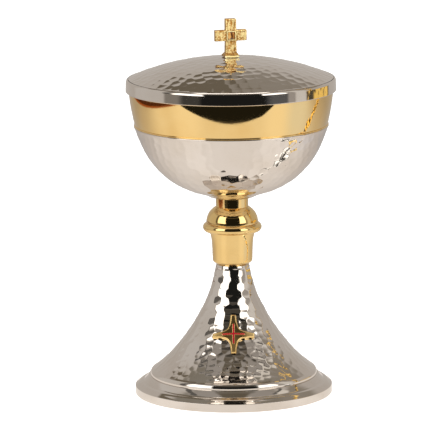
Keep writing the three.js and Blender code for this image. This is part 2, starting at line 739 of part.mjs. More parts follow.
function lidGuide() {
  const foot = LIP_Z - GUIDE_REACH;
  return ring(GUIDE_RADIUS - GUIDE_WALL, GUIDE_RADIUS, foot, LID_SEAT_Z - FIT, WIDE_TURN);
}

// Cross on the lid: one casting with a square plinth, a bezel for the stone, and a stud to hold it
function crossBody() {
  const foot = LID_TOP_Z + PLINTH_HEIGHT + PLINTH_FLARE - CROSS_EDGE;
  const armLow = CROSS_ARM_Z - CROSS_ARM_HEIGHT / 2;
  const armHigh = CROSS_ARM_Z + CROSS_ARM_HEIGHT / 2;
  const half = CROSS_POST_WIDTH / 2;
  const top = LID_TOP_Z + CROSS_HEIGHT;
  const right = [
    point(CROSS_FOOT_WIDTH / 2, foot), point(half, armLow), point(CROSS_SPAN / 2, armLow),
    point(CROSS_SPAN / 2, armHigh), point(half, armHigh), point(half, top),
  ];
  const left = right.map((at) => point(-at.x, at.y)).reverse();
  const geometry = new THREE.ExtrudeGeometry(new THREE.Shape([...right, ...left]), {
    depth: CROSS_DEPTH - 2 * CROSS_EDGE,
    bevelThickness: CROSS_EDGE,
    bevelSize: CROSS_EDGE,
    bevelOffset: -CROSS_EDGE,
    bevelSegments: 2,
  });
  geometry.translate(0, 0, CROSS_EDGE - CROSS_DEPTH / 2);
  geometry.rotateX(Math.PI / 2);
  return geometry;
}

// A block standing out of the front of the cross, square to look at, between two depths
function frontBlock(width, from, to, frontWidth = width) {
  const geometry = rectangles([[width, width, from], [frontWidth, frontWidth, to]]);
  geometry.rotateX(Math.PI / 2);
  geometry.translate(0, 0, CROSS_ARM_Z);
  return geometry;
}

function finialCross() {
  const shoulder = LID_TOP_Z + PLINTH_HEIGHT;
  const plinth = rectangles([
    [PLINTH_WIDTH, PLINTH_WIDTH, LID_TOP_Z],
    [PLINTH_WIDTH, PLINTH_WIDTH, shoulder],
    [CROSS_FOOT_WIDTH, CROSS_DEPTH + 0.6, shoulder + PLINTH_FLARE],
  ]);
  const front = CROSS_DEPTH / 2;
  const opening = STONE_WIDTH + 2 * STONE_FIT;
  const bezel = frontBlock(opening + 2 * BEZEL_WALL, 0, front + BEZEL_HEIGHT);
  const pocket = frontBlock(opening, front, front + 2 * BEZEL_HEIGHT);
  const stud = bar(STUD_RADIUS, LID_TOP_Z - STUD_LENGTH, shoulder);
  return fromSolid(toSolid(crossBody())
    .add(toSolid(plinth))
    .add(toSolid(stud))
    .add(toSolid(bezel))
    .subtract(toSolid(pocket)));
}

function finialStone() {
  const base = CROSS_DEPTH / 2 + STONE_FIT;
  const girdle = frontBlock(STONE_WIDTH, base, base + STONE_DEPTH / 2);
  const crown = frontBlock(STONE_WIDTH, base + STONE_DEPTH / 2, base + STONE_DEPTH, STONE_WIDTH * 0.62);
  return fromSolid(toSolid(girdle).add(toSolid(crown)));
}

// Assembly
function piece(name, geometry, material) {
  const mesh = new THREE.Mesh(geometry, material);
  mesh.name = name;
  return mesh;
}

function group(name, ...pieces) {
  const whole = new THREE.Group();
  whole.name = name;
  whole.add(...pieces);
  return whole;
}

function stem() {
  const washerTop = CONE_TOP_Z - FOOT_WALL;
  const nutTop = washerTop - FOOT_WASHER_THICK;
  const nutFoot = nutTop - FOOT_NUT_THICK;
  const bore = ROD_RADIUS + FIT;
  return group(
    "stem",
    piece("stem_seat_ring", ring(bore, SEAT_RING_RADIUS, CONE_TOP_Z, BELL_Z, STEM_TURN), gilt()),
    piece("knop_bell", knopBell(), gilt()),
    piece("knop_ring", knopRing(), gilt()),
    piece("knop_dome", knopDome(), gilt()),
    piece("stem_collar", collar(), gilt()),
    piece("tie_rod", bar(ROD_RADIUS, nutFoot - ROD_END, LINER_Z - BOSS_ROOF - FIT), steel()),
    piece("foot_washer", ring(bore, FOOT_WASHER_RADIUS, nutTop, washerTop, BOLT_TURN), steel()),
    piece("foot_nut", hexNut(FOOT_NUT_FLATS, bore, nutFoot, nutTop), steel()),
  );
}

function emblem() {
  const bore = PIN_RADIUS + FIT;
  const washerTop = -(FOOT_WALL + FIT);
  const washerFoot = washerTop - PIN_WASHER_THICK;
  const nutTop = washerFoot - FIT;
  const fastening = group(
    "emblem_fastening",
    piece("emblem_pin", bar(PIN_RADIUS, -PIN_LENGTH, 0, PIN_TURN), steel()),
    piece("emblem_washer", ring(bore, PIN_WASHER_RADIUS, washerFoot, washerTop, BOLT_TURN), steel()),
    piece("emblem_nut", hexNut(PIN_NUT_FLATS, bore, nutTop - PIN_NUT_THICK, nutTop), steel()),
  );
  fastening.applyMatrix4(emblemPlace());
  return group(
    "emblem",
    piece("emblem_plate", emblemPlate(), gilt()),
    piece("emblem_enamel", emblemEnamel(), glassy(0xb01230, 0.25)),
    fastening,
  );
}

function finial() {
  const washerTop = LID_TOP_Z - DOME_WALL;
  const nutTop = washerTop - STUD_WASHER_THICK;
  const bore = STUD_RADIUS + FIT;
  const cross = group(
    "cross",
    piece("finial_cross", finialCross(), castGilt()),
    piece("finial_stone", finialStone(), glassy(0xa85a20, 0.1)),
  );
  cross.rotation.z = CROSS_TURN;
  return group(
    "finial",
    cross,
    piece("finial_washer", ring(bore, STUD_WASHER_RADIUS, nutTop, washerTop, BOLT_TURN), steel()),
    piece("finial_nut", hexNut(STUD_NUT_FLATS, bore, nutTop - STUD_NUT_THICK, nutTop), steel()),
  );
}

const vessel = group(
  "vessel",
  piece("foot_flange", footFlange(), silver()),
  piece("foot_cone", footCone(), silver()),
  emblem(),
  stem(),
  piece("cup_boss", cupBoss(), steel()),
  piece("cup_shell", cupShell(), silver()),
  piece("cup_liner", cupLiner(), gilt()),
);

const lid = group(
  "lid",
  piece("lid_band", lidBand(), silver()),
  piece("lid_dome", lidDome(), silver()),
  piece("lid_guide_ring", lidGuide(), silver()),
  finial(),
);

export default group("ciborium", vessel, lid);
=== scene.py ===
"""Looks for the ciborium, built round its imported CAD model.

The outlines of the CAD source are turned here in fine steps, and hammered with small dents. The flange's top
and the cup's mouth were fitted once more, to where the photo has their reflections. Lengths of the object are
millimetres up to the meshes; those of Blender and of the studio are metres.
"""

import math

import bmesh
import bpy
import numpy as np
from mathutils import Matrix, Vector

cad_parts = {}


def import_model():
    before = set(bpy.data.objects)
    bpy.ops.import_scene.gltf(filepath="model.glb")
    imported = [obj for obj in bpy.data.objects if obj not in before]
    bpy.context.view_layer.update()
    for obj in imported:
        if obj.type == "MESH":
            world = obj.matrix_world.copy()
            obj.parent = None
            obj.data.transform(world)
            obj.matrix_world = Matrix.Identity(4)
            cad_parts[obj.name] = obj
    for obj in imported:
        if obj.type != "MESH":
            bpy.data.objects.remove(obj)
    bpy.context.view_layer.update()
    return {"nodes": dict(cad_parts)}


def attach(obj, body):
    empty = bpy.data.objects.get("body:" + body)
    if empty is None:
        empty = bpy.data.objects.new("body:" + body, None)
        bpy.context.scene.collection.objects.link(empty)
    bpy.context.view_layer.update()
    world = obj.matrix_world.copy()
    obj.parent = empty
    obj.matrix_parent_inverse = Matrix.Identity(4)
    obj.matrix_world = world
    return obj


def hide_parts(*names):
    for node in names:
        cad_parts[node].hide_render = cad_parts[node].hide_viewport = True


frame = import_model()
NODES = frame["nodes"]
MM = 0.001
TAU = 2 * math.pi

# Sizes shared with the CAD source
FIT = 0.3
FOOT_WALL, STEM_WALL, SHELL_WALL, LINER_WALL, DOME_WALL = 1.2, 1.6, 1.0, 0.9, 1.1
FOOT_RADIUS, FOOT_ROUND, REST_WIDTH = 58.6, 0.8, 3.8
SEAT_RADIUS, SEAT_Z, SEAT_WIDTH = 49.6, 11.2, 3.0
CONE_TOP_Z, CONE_TOP_RADIUS = 77.3, 9.9
SEAT_RING_RADIUS, BELL_Z, BELL_ROUND = 8.0, 78.4, 1.8
RING_Z, RING_RADIUS, RING_HEIGHT = 97.05, 17.45, 5.4
DOME_KNOP_Z, COLLAR_Z, COLLAR_RADIUS = 102.45, 112.0, 9.6
ROD_RADIUS = 2.5
CUP_Z, CUP_BASE_RADIUS, HUB_RADIUS = 118.0, 13.2, 6.8
SHELL_RIM_Z, SHELL_RIM_RADIUS = 160.8, 57.55
LINER_Z, LINER_FLAT_RADIUS, LINER_STEP_RADIUS = 121.4, 16.6, 57.05
LIP_Z, LIP_RADIUS = 183.6, 60.7
BAND_Z, BAND_RADIUS, BAND_TOP_RADIUS, BAND_ROUND = 181.2, 62.1, 61.9, 2.0
BAND_TOP_Z = 188.8
LID_SEAT_Z, LID_RIM_RADIUS, LID_TOP_Z, LID_TOP_RADIUS = 187.2, 60.5, 201.05, 6.6
DOME_RIM_Z = 188.9
GUIDE_RADIUS, GUIDE_WALL, GUIDE_Z = 58.4, 1.0, 178.1
EMBLEM_Z, EMBLEM_REACH, EMBLEM_WAIST, EMBLEM_TIP = 39.4, 12.2, 2.55, 1.45
EMBLEM_THICK, EMBLEM_EDGE_THICK, EMBLEM_BEVEL, EMBLEM_LIFT = 1.7, 1.0, 0.8, 0.15
ENAMEL_SPAN, ENAMEL_WIDTH = 12.6, 0.9
CROSS_TURN, CROSS_TOP_Z, CROSS_ARM_Z = math.radians(13.7), 224.0, 214.1
CROSS_SPAN, CROSS_ARM_HEIGHT, CROSS_POST_WIDTH, CROSS_FOOT_WIDTH, CROSS_DEPTH = 19.1, 6.5, 6.5, 6.9, 3.4
PLINTH_WIDTH, PLINTH_HEIGHT, PLINTH_FLARE = 8.7, 1.5, 1.4
BEZEL_HEIGHT, STONE_WIDTH = 1.0, 4.1
STUD_RADIUS, STUD_LENGTH = 2.0, 6.0

# Sizes of the looks alone
EMBLEM_FACE_SUNK, ENAMEL_THICK, BEZEL_WALL = 0.12, 0.4, 0.6
FENCE_WALL, FENCE_HEIGHT = 0.24, 0.26
CROSS_CORNER, CROSS_EDGE, CROSS_BORDER, CROSS_SUNK = 0.8, 0.5, 0.55, 0.16
PLINTH_UNDERCUT = 0.7
CONE_LIP, CONE_LIP_TURN, CONE_LIP_Z = 3.5, 50.0, 11.75

# Outlines, as radius and height
FLANGE_LINE = [
    (58.42, 5.0), (57.0, 6.02), (55.8, 6.9), (55.2, 7.2), (54.4, 7.43), (53.8, 7.62),
    (53.3, 7.9), (52.8, 8.38), (52.1, 9.12), (51.4, 9.93), (50.9, 10.55), (50.5, 11.05),
]
CONE_LINE = [
    (49.6, 13.4), (40.4, 21.0), (33.4, 28.7), (27.6, 36.3), (22.6, 43.8),
    (18.5, 51.3), (15.0, 58.7), (12.6, 66.0), (10.9, 73.0), (9.9, 77.3),
]
CUP_LINE = [
    (13.2, 118.0), (15.84, 119.2), (24.15, 122.0), (32.28, 125.7),
    (41.15, 132.2), (49.68, 142.5), (54.8, 153.0), (57.4, 160.3),
]
MOUTH_LINE = [(56.9, 161.0), (57.79, 165.0), (58.9, 170.6), (59.62, 175.0), (60.2, 180.0), (60.43, 183.2)]
BELL_LINE = [(11.85, 81.0), (11.95, 83.5), (12.1, 87.5), (12.3, 91.0), (12.75, 94.1), (13.6, 97.05)]
DOME_KNOP_LINE = [(15.4, 102.45), (15.3, 104.1), (14.9, 105.9), (14.2, 107.6), (12.9, 109.5), (11.2, 111.1)]


# Curves
class Line:
    """A smooth curve through points, read by its share of the length."""

    def __init__(self, points):
        p = np.array(points, float)
        t = np.concatenate([[0], np.cumsum(np.linalg.norm(np.diff(p, axis=0), axis=1))])
        fine = np.linspace(0, t[-1], 3001)
        self.points = np.stack([cubic(t, p[:, k], fine) for k in (0, 1)], axis=1)
        steps = np.linalg.norm(np.diff(self.points, axis=0), axis=1)
        self.run = np.concatenate([[0], np.cumsum(steps)])
        self.length = self.run[-1]
        ways = np.gradient(self.points, axis=0)
        self.ways = ways / np.linalg.norm(ways, axis=1)[:, None]

    def read(self, table, u):
        at = np.asarray(u, float) * self.length
        return np.stack([np.interp(at, self.run, table[:, k]) for k in (0, 1)], axis=-1)

    def at(self, u, inset=0.0):
        way = self.read(self.ways, u)
        inwards = np.stack([-way[..., 1], way[..., 0]], axis=-1)
        return self.read(self.points, u) + np.asarray(inset)[..., None] * inwards

    def along(self, inset, steps, start=0.0, end=1.0):
        return [tuple(p) for p in self.at(np.linspace(start, end, steps + 1), inset)]

    def share_at_height(self, z):
        return float(np.interp(z, self.points[:, 1], self.run) / self.length)


def cubic(t, y, at):
    """A natural cubic spline through (t, y), read at the points at."""
    n = len(t)
    h = np.diff(t)
    a = np.eye(n)
    b = np.zeros(n)
    for i in range(1, n - 1):
        a[i, i - 1], a[i, i], a[i, i + 1] = h[i - 1], 2 * (h[i - 1] + h[i]), h[i]
        b[i] = 6 * ((y[i + 1] - y[i]) / h[i] - (y[i] - y[i - 1]) / h[i - 1])
    m = np.linalg.solve(a, b)
    k = np.clip(np.searchsorted(t, at) - 1, 0, n - 2)
    left, right = t[k + 1] - at, at - t[k]
    cubes = (m[k] * left**3 + m[k + 1] * right**3) / (6 * h[k])
    lines = (y[k] / h[k] - m[k] * h[k] / 6) * left + (y[k + 1] / h[k] - m[k + 1] * h[k] / 6) * right
    return cubes + lines


def arc(r, z, radius, start, end, steps=8):
    """Points of a round edge about a centre, between two angles in degrees."""
    turns = np.radians(np.linspace(start, end, steps + 1))
    return [(r + radius * math.cos(a), z + radius * math.sin(a)) for a in turns]


def softened(outline, radius, steps=3, sharper_than=25, support=0.06):
    """The closed outline with each corner rounded, where it turns by more than some degrees.

    One more point close to each side of a corner keeps the flat wall beside it flat."""
    points = [np.array(p, float) for p in outline]
    out = []
    for i, p in enumerate(points):
        before, after = points[i - 1] - p, points[(i + 1) % len(points)] - p
        lb, la = np.linalg.norm(before), np.linalg.norm(after)
        turn = math.degrees(math.acos(np.clip(-before @ after / (lb * la), -1, 1)))
        reach = min(radius, 0.45 * lb, 0.45 * la)
        if turn < sharper_than or p[0] < 1e-6 or reach < 0.02:
            out.append(tuple(p))
            continue
        a, b = p + before / lb * reach, p + after / la * reach
        if 0.48 * lb > reach + support:
            out.append(tuple(a + before / lb * support))
        for t in np.linspace(0, 1, steps + 1):
            out.append(tuple((1 - t) ** 2 * a + 2 * t * (1 - t) * p + t**2 * b))
        if 0.48 * la > reach + support:
            out.append(tuple(b + after / la * support))
    return out


# Meshes
def mesh_object(name, vertices, faces, smooth_below=32):
    """An object from points in metres, its normals outwards, its sharp edges kept."""
    mesh = bpy.data.meshes.new(name)
    mesh.from_pydata(np.asarray(vertices).tolist(), [], faces)
    shape = bmesh.new()
    shape.from_mesh(mesh)
    bmesh.ops.remove_doubles(shape, verts=shape.verts, dist=1e-7)
    bmesh.ops.recalc_face_normals(shape, faces=shape.faces)
    shape.to_mesh(mesh)
    shape.free()
    mesh.polygons.foreach_set("use_smooth", [True] * len(mesh.polygons))
    mesh.set_sharp_from_angle(angle=math.radians(smooth_below))
    obj = bpy.data.objects.new(name, mesh)
    bpy.context.scene.collection.objects.link(obj)
    return obj


def swept(name, rings, closed=True, **options):
    """An object from rings of points, each an array of (count, 3) in mm or one single point."""
    vertices, starts = [], []
    for ring in rings:
        ring = np.atleast_2d(np.asarray(ring, float))
        starts.append((len(vertices), len(ring)))
        vertices.extend(ring * MM)
    faces = []
    pairs = list(zip(starts, starts[1:] + starts[:1])) if closed else list(zip(starts, starts[1:]))
    for (a, na), (b, nb) in pairs:
        count = max(na, nb)
        if count == 1:
            continue
        for i in range(count):
            j = (i + 1) % count
            if na == 1:
                faces.append((a, b + j, b + i))
            elif nb == 1:
                faces.append((a + i, a + j, b))
            else:
                faces.append((a + i, a + j, b + j, b + i))
    return mesh_object(name, vertices, faces, **options)


def circle(r, z, count):
    """A ring of points about the axis; r and z are numbers or arrays with one value for each point."""
    if np.ndim(r) == 0 and r < 1e-6:
        return np.array([[0.0, 0.0, z]])
    a = np.arange(count) * TAU / count
    return np.stack([r * np.cos(a), r * np.sin(a), np.broadcast_to(z, (count,))], axis=1)


def lathe(name, outline, count=256):
    return swept(name, [circle(r, z, count) for r, z in outline])


def blows(line, start, end, pitch, depth, seed, calm):
    """Middles of the hammer blows on an outline: share of its length, angle, depth and width.

    Blows at the outline's start are shallower, by the share calm."""
    random = np.random.default_rng(seed)
    rows = round(line.length * (end - start) / (pitch * 0.866))
    out = []
    for row in range(-1, rows + 1):
        u = start + (row + 0.5) / rows * (end - start)
        count = max(3, round(TAU * float(line.at(min(max(u, 0), 1))[0]) / pitch))
        shift = random.random()
        for i in range(count):
            at = u + random.normal(0, 0.14) / rows * (end - start)
            angle = (i + 0.5 * (row % 2) + shift + random.normal(0, 0.12)) * TAU / count
            force = depth * (0.75 + 0.5 * random.random()) * (1 - calm * max(0, 1 - 4 * (at - start)))
            out.append((at, angle % TAU, force, 0.62 + 0.12 * random.random()))
    return np.array(out)


RIDGE_SHARPNESS = 14
FADE_LENGTH = 1.2


def hammered(name, line, closing, start, end, rows, count, pitch, depth, seed, calm=0.0):
    """A wall with a hammered outer face, closed by plain rings from its top round to its bottom."""
    marks = blows(line, start, end, pitch, depth, seed, calm)
    angles = np.arange(count) * TAU / count
    rings = []
    for u in np.linspace(start, end, rows + 1):
        radius = float(line.at(u)[0])
        near = marks[np.abs(marks[:, 0] - u) * line.length < 1.5 * pitch]
        turn = (angles[:, None] - near[None, :, 1] + math.pi) % TAU - math.pi
        across = turn * radius
        up = (near[:, 0] - u) * line.length
        away = (across**2 + up[None, :] ** 2) / (near[:, 3] * pitch) ** 2
        sunk = near[:, 2] * (1 - away)
        # The dents meet in ridges that are worn a little round
        sharp = RIDGE_SHARPNESS / depth
        sink = np.log(1 + np.exp(np.clip(sharp * sunk, -60, 60)).sum(axis=1)) / sharp
        fade = min(1, (u - start) * line.length / FADE_LENGTH, (end - u) * line.length / FADE_LENGTH)
        sink = sink * max(fade, 0) ** 0.5
        points = line.at(np.full(count, u), sink)
        rings.append(circle(points[:, 0], points[:, 1], count))
    rings += [circle(r, z, count) for r, z in closing]
    return swept(name, rings, smooth_below=50)


# Materials
def material(name):
    made = bpy.data.materials.new(name)
    made.use_nodes = True
    made.node_tree.nodes.clear()
    return made, made.node_tree


def node(tree, kind, inputs=None, **settings):
    made = tree.nodes.new("ShaderNode" + kind)
    for key, value in settings.items():
        setattr(made, key, value)
    for key, value in (inputs or {}).items():
        if isinstance(value, bpy.types.NodeSocket):
            tree.links.new(value, made.inputs[key])
        else:
            made.inputs[key].default_value = value
    return made


def math_node(tree, operation, a, b=0.0):
    return node(tree, "Math", {0: a, 1: b}, operation=operation).outputs[0]


def plus(tree, a, b):
    return math_node(tree, "ADD", a, b)


def minus(tree, a, b):
    return math_node(tree, "SUBTRACT", a, b)


def times(tree, a, b):
    return math_node(tree, "MULTIPLY", a, b)


def greater(tree, a, b):
    return math_node(tree, "MAXIMUM", a, b)


def mix_colour(tree, share, a, b):
    return node(tree, "Mix", {0: share, 6: a, 7: b}, data_type="RGBA").outputs[2]


def noise(tree, scale, detail=3.0, rough=0.5, stretch=None):
    """Noise in the object's own space, in features per metre."""
    place = node(tree, "TexCoord").outputs["Object"]
    if stretch:
        place = node(tree, "Mapping", {"Vector": place, "Scale": stretch}).outputs[0]
    return node(tree, "TexNoise", {"Vector": place, "Scale": scale, "Detail": detail, "Roughness": rough}).outputs[0]


def ramp(tree, value, low, high, to_low, to_high):
    return node(tree, "MapRange", {0: value, 1: low, 2: high, 3: to_low, 4: to_high}).outputs[0]


def bump(tree, shader, height, strength, distance):
    dents = node(tree, "Bump", {"Strength": strength, "Distance": distance, "Height": height}).outputs[0]
    tree.links.new(dents, shader.inputs["Normal"])


def finish_surface(tree, shader):
    node(tree, "OutputMaterial", {"Surface": shader.outputs[0]})


RIPPLE_DEPTH, CAST_DEPTH = 0.0002, 0.0005


def plated(name, colour, tarnish, roughness, ripple, spread=0.03, scratches=0.02, grain=None):
    """Polished plated metal: a base colour that wanders a little, a hazy patch here and there, hairlines."""
    made, tree = material(name)
    haze = noise(tree, 45, 4)
    hair = noise(tree, 60, 2, stretch=(1, 1, 40))
    base = mix_colour(tree, ramp(tree, haze, 0.42, 0.72, 0, 1), colour, tarnish)
    rough = plus(tree, ramp(tree, haze, 0.35, 0.7, roughness, roughness + spread),
                 ramp(tree, hair, 0.62, 0.8, 0, scratches))
    height = noise(tree, grain, 4, 0.6) if grain else noise(tree, 900, 2)
    shader = node(tree, "BsdfPrincipled", {"Base Color": base, "Roughness": rough, "Metallic": 1.0})
    bump(tree, shader, height, ripple, RIPPLE_DEPTH)
    finish_surface(tree, shader)
    return made


SILVER = (0.74, 0.685, 0.63, 1)
SILVER_TARNISH = (0.69, 0.625, 0.555, 1)
GOLD = (0.86, 0.62, 0.27, 1)
GOLD_TARNISH = (0.82, 0.56, 0.22, 1)

silvered = plated("silvered", SILVER, SILVER_TARNISH, 0.06, 0.03)
silvered_plain = plated("silvered_plain", SILVER, SILVER_TARNISH, 0.045, 0.02, scratches=0.04)
gilt = plated("gilt", GOLD, GOLD_TARNISH, 0.045, 0.02)
steel = plated("steel", (0.5, 0.49, 0.47, 1), (0.38, 0.36, 0.34, 1), 0.28, 0.3, spread=0.12, grain=500)


def cast_material(name, skin, pit):
    """Cast and gold plated: bright where the skin was brushed, darker in its pits."""
    made, tree = material(name)
    grain = noise(tree, 1150, 2)
    streaks = noise(tree, 800, 2, stretch=(1, 1, 0.3))
    pits = times(tree, plus(tree, grain, streaks), 0.5)
    colour = mix_colour(tree, ramp(tree, pits, 0.43, 0.54, 0, 1), pit, skin)
    shader = node(tree, "BsdfPrincipled", {
        "Base Color": colour,
        "Roughness": ramp(tree, pits, 0.4, 0.6, 0.45, 0.28),
        "Metallic": 0.35,
    })
    bump(tree, shader, pits, 1.0, CAST_DEPTH)
    finish_surface(tree, shader)
    return made


def enamel_material():
    made, tree = material("enamel")
    cloud = noise(tree, 500, 3)
    colour = mix_colour(tree, ramp(tree, cloud, 0.35, 0.7, 0, 1), (0.38, 0.006, 0.018, 1), (0.27, 0.003, 0.012, 1))
    shader = node(tree, "BsdfPrincipled", {
        "Base Color": colour,
        "Roughness": ramp(tree, cloud, 0.3, 0.7, 0.1, 0.2),
        "Coat Weight": 0.2,
        "Coat Roughness": 0.05,
    })
    finish_surface(tree, shader)
    return made


def stone_material():
    made, tree = material("stone")
    veins = noise(tree, 700, 4, 0.6)
    colour = mix_colour(tree, ramp(tree, veins, 0.4, 0.62, 0, 1), (0.7, 0.36, 0.09, 1), (0.85, 0.52, 0.19, 1))
    # Across the stone: a dark brown band right of its middle, and a deeper amber beyond
    x = node(tree, "SeparateXYZ", {0: node(tree, "TexCoord").outputs["Object"]}).outputs[0]
    dark = plus(tree, x, ramp(tree, veins, 0.3, 0.7, -0.0004, 0.0004))
    colour = mix_colour(tree, ramp(tree, dark, 0.0, 0.0004, 0, 1), colour, (0.09, 0.025, 0.008, 1))
    colour = mix_colour(tree, ramp(tree, dark, 0.0011, 0.0015, 0, 1), colour, (0.45, 0.19, 0.05, 1))
    shader = node(tree, "BsdfPrincipled", {
        "Base Color": colour,
        "Roughness": ramp(tree, veins, 0.3, 0.7, 0.03, 0.1),
        "Transmission Weight": 0.2,
        "IOR": 1.54,
    })
    finish_surface(tree, shader)
    return made


cast_gilt = cast_material("cast_gilt", (1.0, 0.79, 0.35, 1), (0.5, 0.21, 0.025, 1))
# Darker cast gold for the edges of the cross and for its stud: painted shade and dark reflections
cast_painted_shade = cast_material("cast_painted_shade", (0.42, 0.23, 0.05, 1), (0.2, 0.085, 0.012, 1))
# Lighter cast gold for the fronts of the plinth and the bezel: a painted highlight
cast_painted_highlight = cast_material("cast_painted_highlight", (1.0, 0.9, 0.5, 1), (0.98, 0.76, 0.3, 1))
enamel = enamel_material()
stone = stone_material()


def paint(obj, surface):
    obj.data.materials.clear()
    obj.data.materials.append(surface)


def dress(obj, surface, slot, body, *replaced):
    """Gives a piece its material, its rigid body and the CAD nodes that it replaces. The argument slot is not used."""
    paint(obj, surface)
    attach(obj, body)
    if replaced:
        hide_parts(*replaced)


# Foot
cone_line = Line(CONE_LINE)
# The cone's lower rim rolls over to upright below this
cone_start = cone_line.share_at_height(CONE_LIP_Z + CONE_LIP * math.sin(math.radians(CONE_LIP_TURN)))


def foot_flange():
    top = Line(FLANGE_LINE)
    outline = softened([
        (FOOT_RADIUS - REST_WIDTH, 0),
        *arc(FOOT_RADIUS - FOOT_ROUND, FOOT_ROUND, FOOT_ROUND, -90, 0, 6),
        (FOOT_RADIUS, FOOT_ROUND + 0.15),
        (FOOT_RADIUS, 2.5),
        (FOOT_RADIUS - 0.03, 4.75),
        (FOOT_RADIUS - 0.03, 4.85),
        *top.along(0, 60),
        (SEAT_RADIUS + FIT, SEAT_Z),
        (SEAT_RADIUS - SEAT_WIDTH, SEAT_Z),
        (SEAT_RADIUS - SEAT_WIDTH, SEAT_Z - FOOT_WALL),
        *top.along(FOOT_WALL, 12, 0.93, 0),
        (FOOT_RADIUS - FOOT_WALL, FOOT_WALL),
        (FOOT_RADIUS - REST_WIDTH, FOOT_WALL),
    ], 0.15)
    return lathe("flange", outline, 320)


def foot_cone():
    bore = ROD_RADIUS + FIT
    under = CONE_TOP_Z - FOOT_WALL
    closing = [
        (CONE_TOP_RADIUS - 0.1, CONE_TOP_Z),
        (bore, CONE_TOP_Z),
        (bore, under),
        (CONE_TOP_RADIUS - FOOT_WALL, under),
        *cone_line.along(FOOT_WALL, 16, 0.95, 0.03),
        (SEAT_RADIUS - FOOT_WALL, SEAT_Z),
        (SEAT_RADIUS, SEAT_Z),
        *arc(SEAT_RADIUS - CONE_LIP, CONE_LIP_Z, CONE_LIP, 0, CONE_LIP_TURN - 4, 10),
    ]
    return hammered("hammered_cone", cone_line, closing, start=cone_start, end=0.985, rows=190, count=430,
                    pitch=5.0, depth=0.34, seed=4, calm=0.6)


dress(foot_flange(), silvered_plain, "silvered_plain", "vessel", "foot_flange")
dress(foot_cone(), silvered, "silvered", "vessel", "foot_cone")


# Emblem
emblem_u = cone_line.share_at_height(EMBLEM_Z)
emblem_slope = cone_line.read(cone_line.ways, emblem_u)


def bent(x, y, lift):
    """A point of a flat plate, laid on the cone's front at a height above its surface."""
    lean = -emblem_slope[0]
    apex = cone_line.at(emblem_u)[0] / lean
    reach = math.hypot(x, apex - y)
    turn = math.atan2(x, apex - y) / lean - math.pi / 2
    r, z = cone_line.at(emblem_u + (apex - reach) / cone_line.length, -lift)
    return (r * math.cos(turn), r * math.sin(turn), z)


def emblem_outline(steps=20):
    t = np.linspace(0, 1, steps + 1)[:, None]
    tip, waist = np.array([EMBLEM_REACH, EMBLEM_TIP]), np.array([EMBLEM_WAIST, EMBLEM_WAIST])
    curve = (1 - t) ** 3 * tip + 3 * t * (1 - t) * waist + t**3 * tip[::-1]
    end = [(EMBLEM_REACH + 0.1, 0), (EMBLEM_REACH + 0.08, 0.6), (EMBLEM_REACH + 0.04, 1.1)]
    quarter = np.concatenate([end, curve])
    out = []
    for k in range(4):
        c, s = round(math.cos(k * math.pi / 2)), round(math.sin(k * math.pi / 2))
        out.extend(quarter @ np.array([[c, s], [-s, c]]))
    return np.array(out)


def inset(outline, distance):
    way = np.roll(outline, -1, axis=0) - np.roll(outline, 1, axis=0)
    way /= np.linalg.norm(way, axis=1)[:, None]
    return outline + distance * np.stack([-way[:, 1], way[:, 0]], axis=1)


def emblem_plate():
    outline = emblem_outline()

    def loop(points, lift, scale=1.0):
        return [bent(x * scale, y * scale, lift) for x, y in points]

    back, edge, front = EMBLEM_LIFT, EMBLEM_LIFT + EMBLEM_EDGE_THICK, EMBLEM_LIFT + EMBLEM_THICK
    rings = [[bent(0, 0, back)]]
    rings += [loop(outline, back, s) for s in np.linspace(0.2, 1, 5)]
    for t in np.linspace(0, 1, 7):
        rounding = 1 - (1 - t) ** 1.6
        rings.append(loop(inset(outline, EMBLEM_BEVEL * 0.85 * t), edge + (front - edge) * rounding))
    face = inset(outline, EMBLEM_BEVEL)
    rings += [loop(face, front - EMBLEM_FACE_SUNK, s) for s in np.linspace(1, 0.1, 8)]
    rings.append([bent(0, 0, front - EMBLEM_FACE_SUNK)])
    return swept("emblem_star", rings, closed=False)


def cross_outline(reach, half, steps=12):
    """The outline of a plain thin cross, with points along its arms to bend it by."""
    along = np.linspace(half, reach, steps)
    side = [(x, -half) for x in along] + [(reach, 0)]
    quarter = np.array(side + [(x, half) for x in along[:0:-1]])
    out = []
    for k in range(4):
        c, s = round(math.cos(k * math.pi / 2)), round(math.sin(k * math.pi / 2))
        out.extend(quarter @ np.array([[c, s], [-s, c]]))
    return np.array(out)


def raised_cross(name, reach, half, low, high, round_by):
    """A thin raised cross with rounded top edges, bent to the cone."""
    def loop(grow, lift, scale=1.0):
        return [bent(x * scale, y * scale, lift) for x, y in cross_outline(reach + grow, half + grow)]

    rings = [[bent(0, 0, low)]] + [loop(0, low, s) for s in np.linspace(0.1, 1, 6)]
    for turn in np.radians(np.linspace(0, 90, 5)):
        rings.append(loop(-round_by * (1 - math.cos(turn)), high - round_by * (1 - math.sin(turn))))
    rings += [loop(-round_by, high, s) for s in np.linspace(0.9, 0.1, 6)] + [[bent(0, 0, high)]]
    return swept(name, rings, closed=False)


def enamel_cross():
    low = EMBLEM_LIFT + EMBLEM_THICK - EMBLEM_FACE_SUNK
    return raised_cross("enamel_cross", ENAMEL_SPAN / 2, ENAMEL_WIDTH / 2, low, low + ENAMEL_THICK, 0.14)


def enamel_fence():
    """The thin metal edge that stands round the enamel."""
    low = EMBLEM_LIFT + EMBLEM_THICK - EMBLEM_FACE_SUNK - 0.02
    return raised_cross("enamel_fence", ENAMEL_SPAN / 2 + FENCE_WALL, ENAMEL_WIDTH / 2 + FENCE_WALL,
                        low, low + FENCE_HEIGHT, 0.2)


dress(emblem_plate(), gilt, "gilt", "vessel", "emblem_plate")
dress(enamel_fence(), gilt, "gilt", "vessel")
dress(enamel_cross(), enamel, "enamel", "vessel", "emblem_enamel")


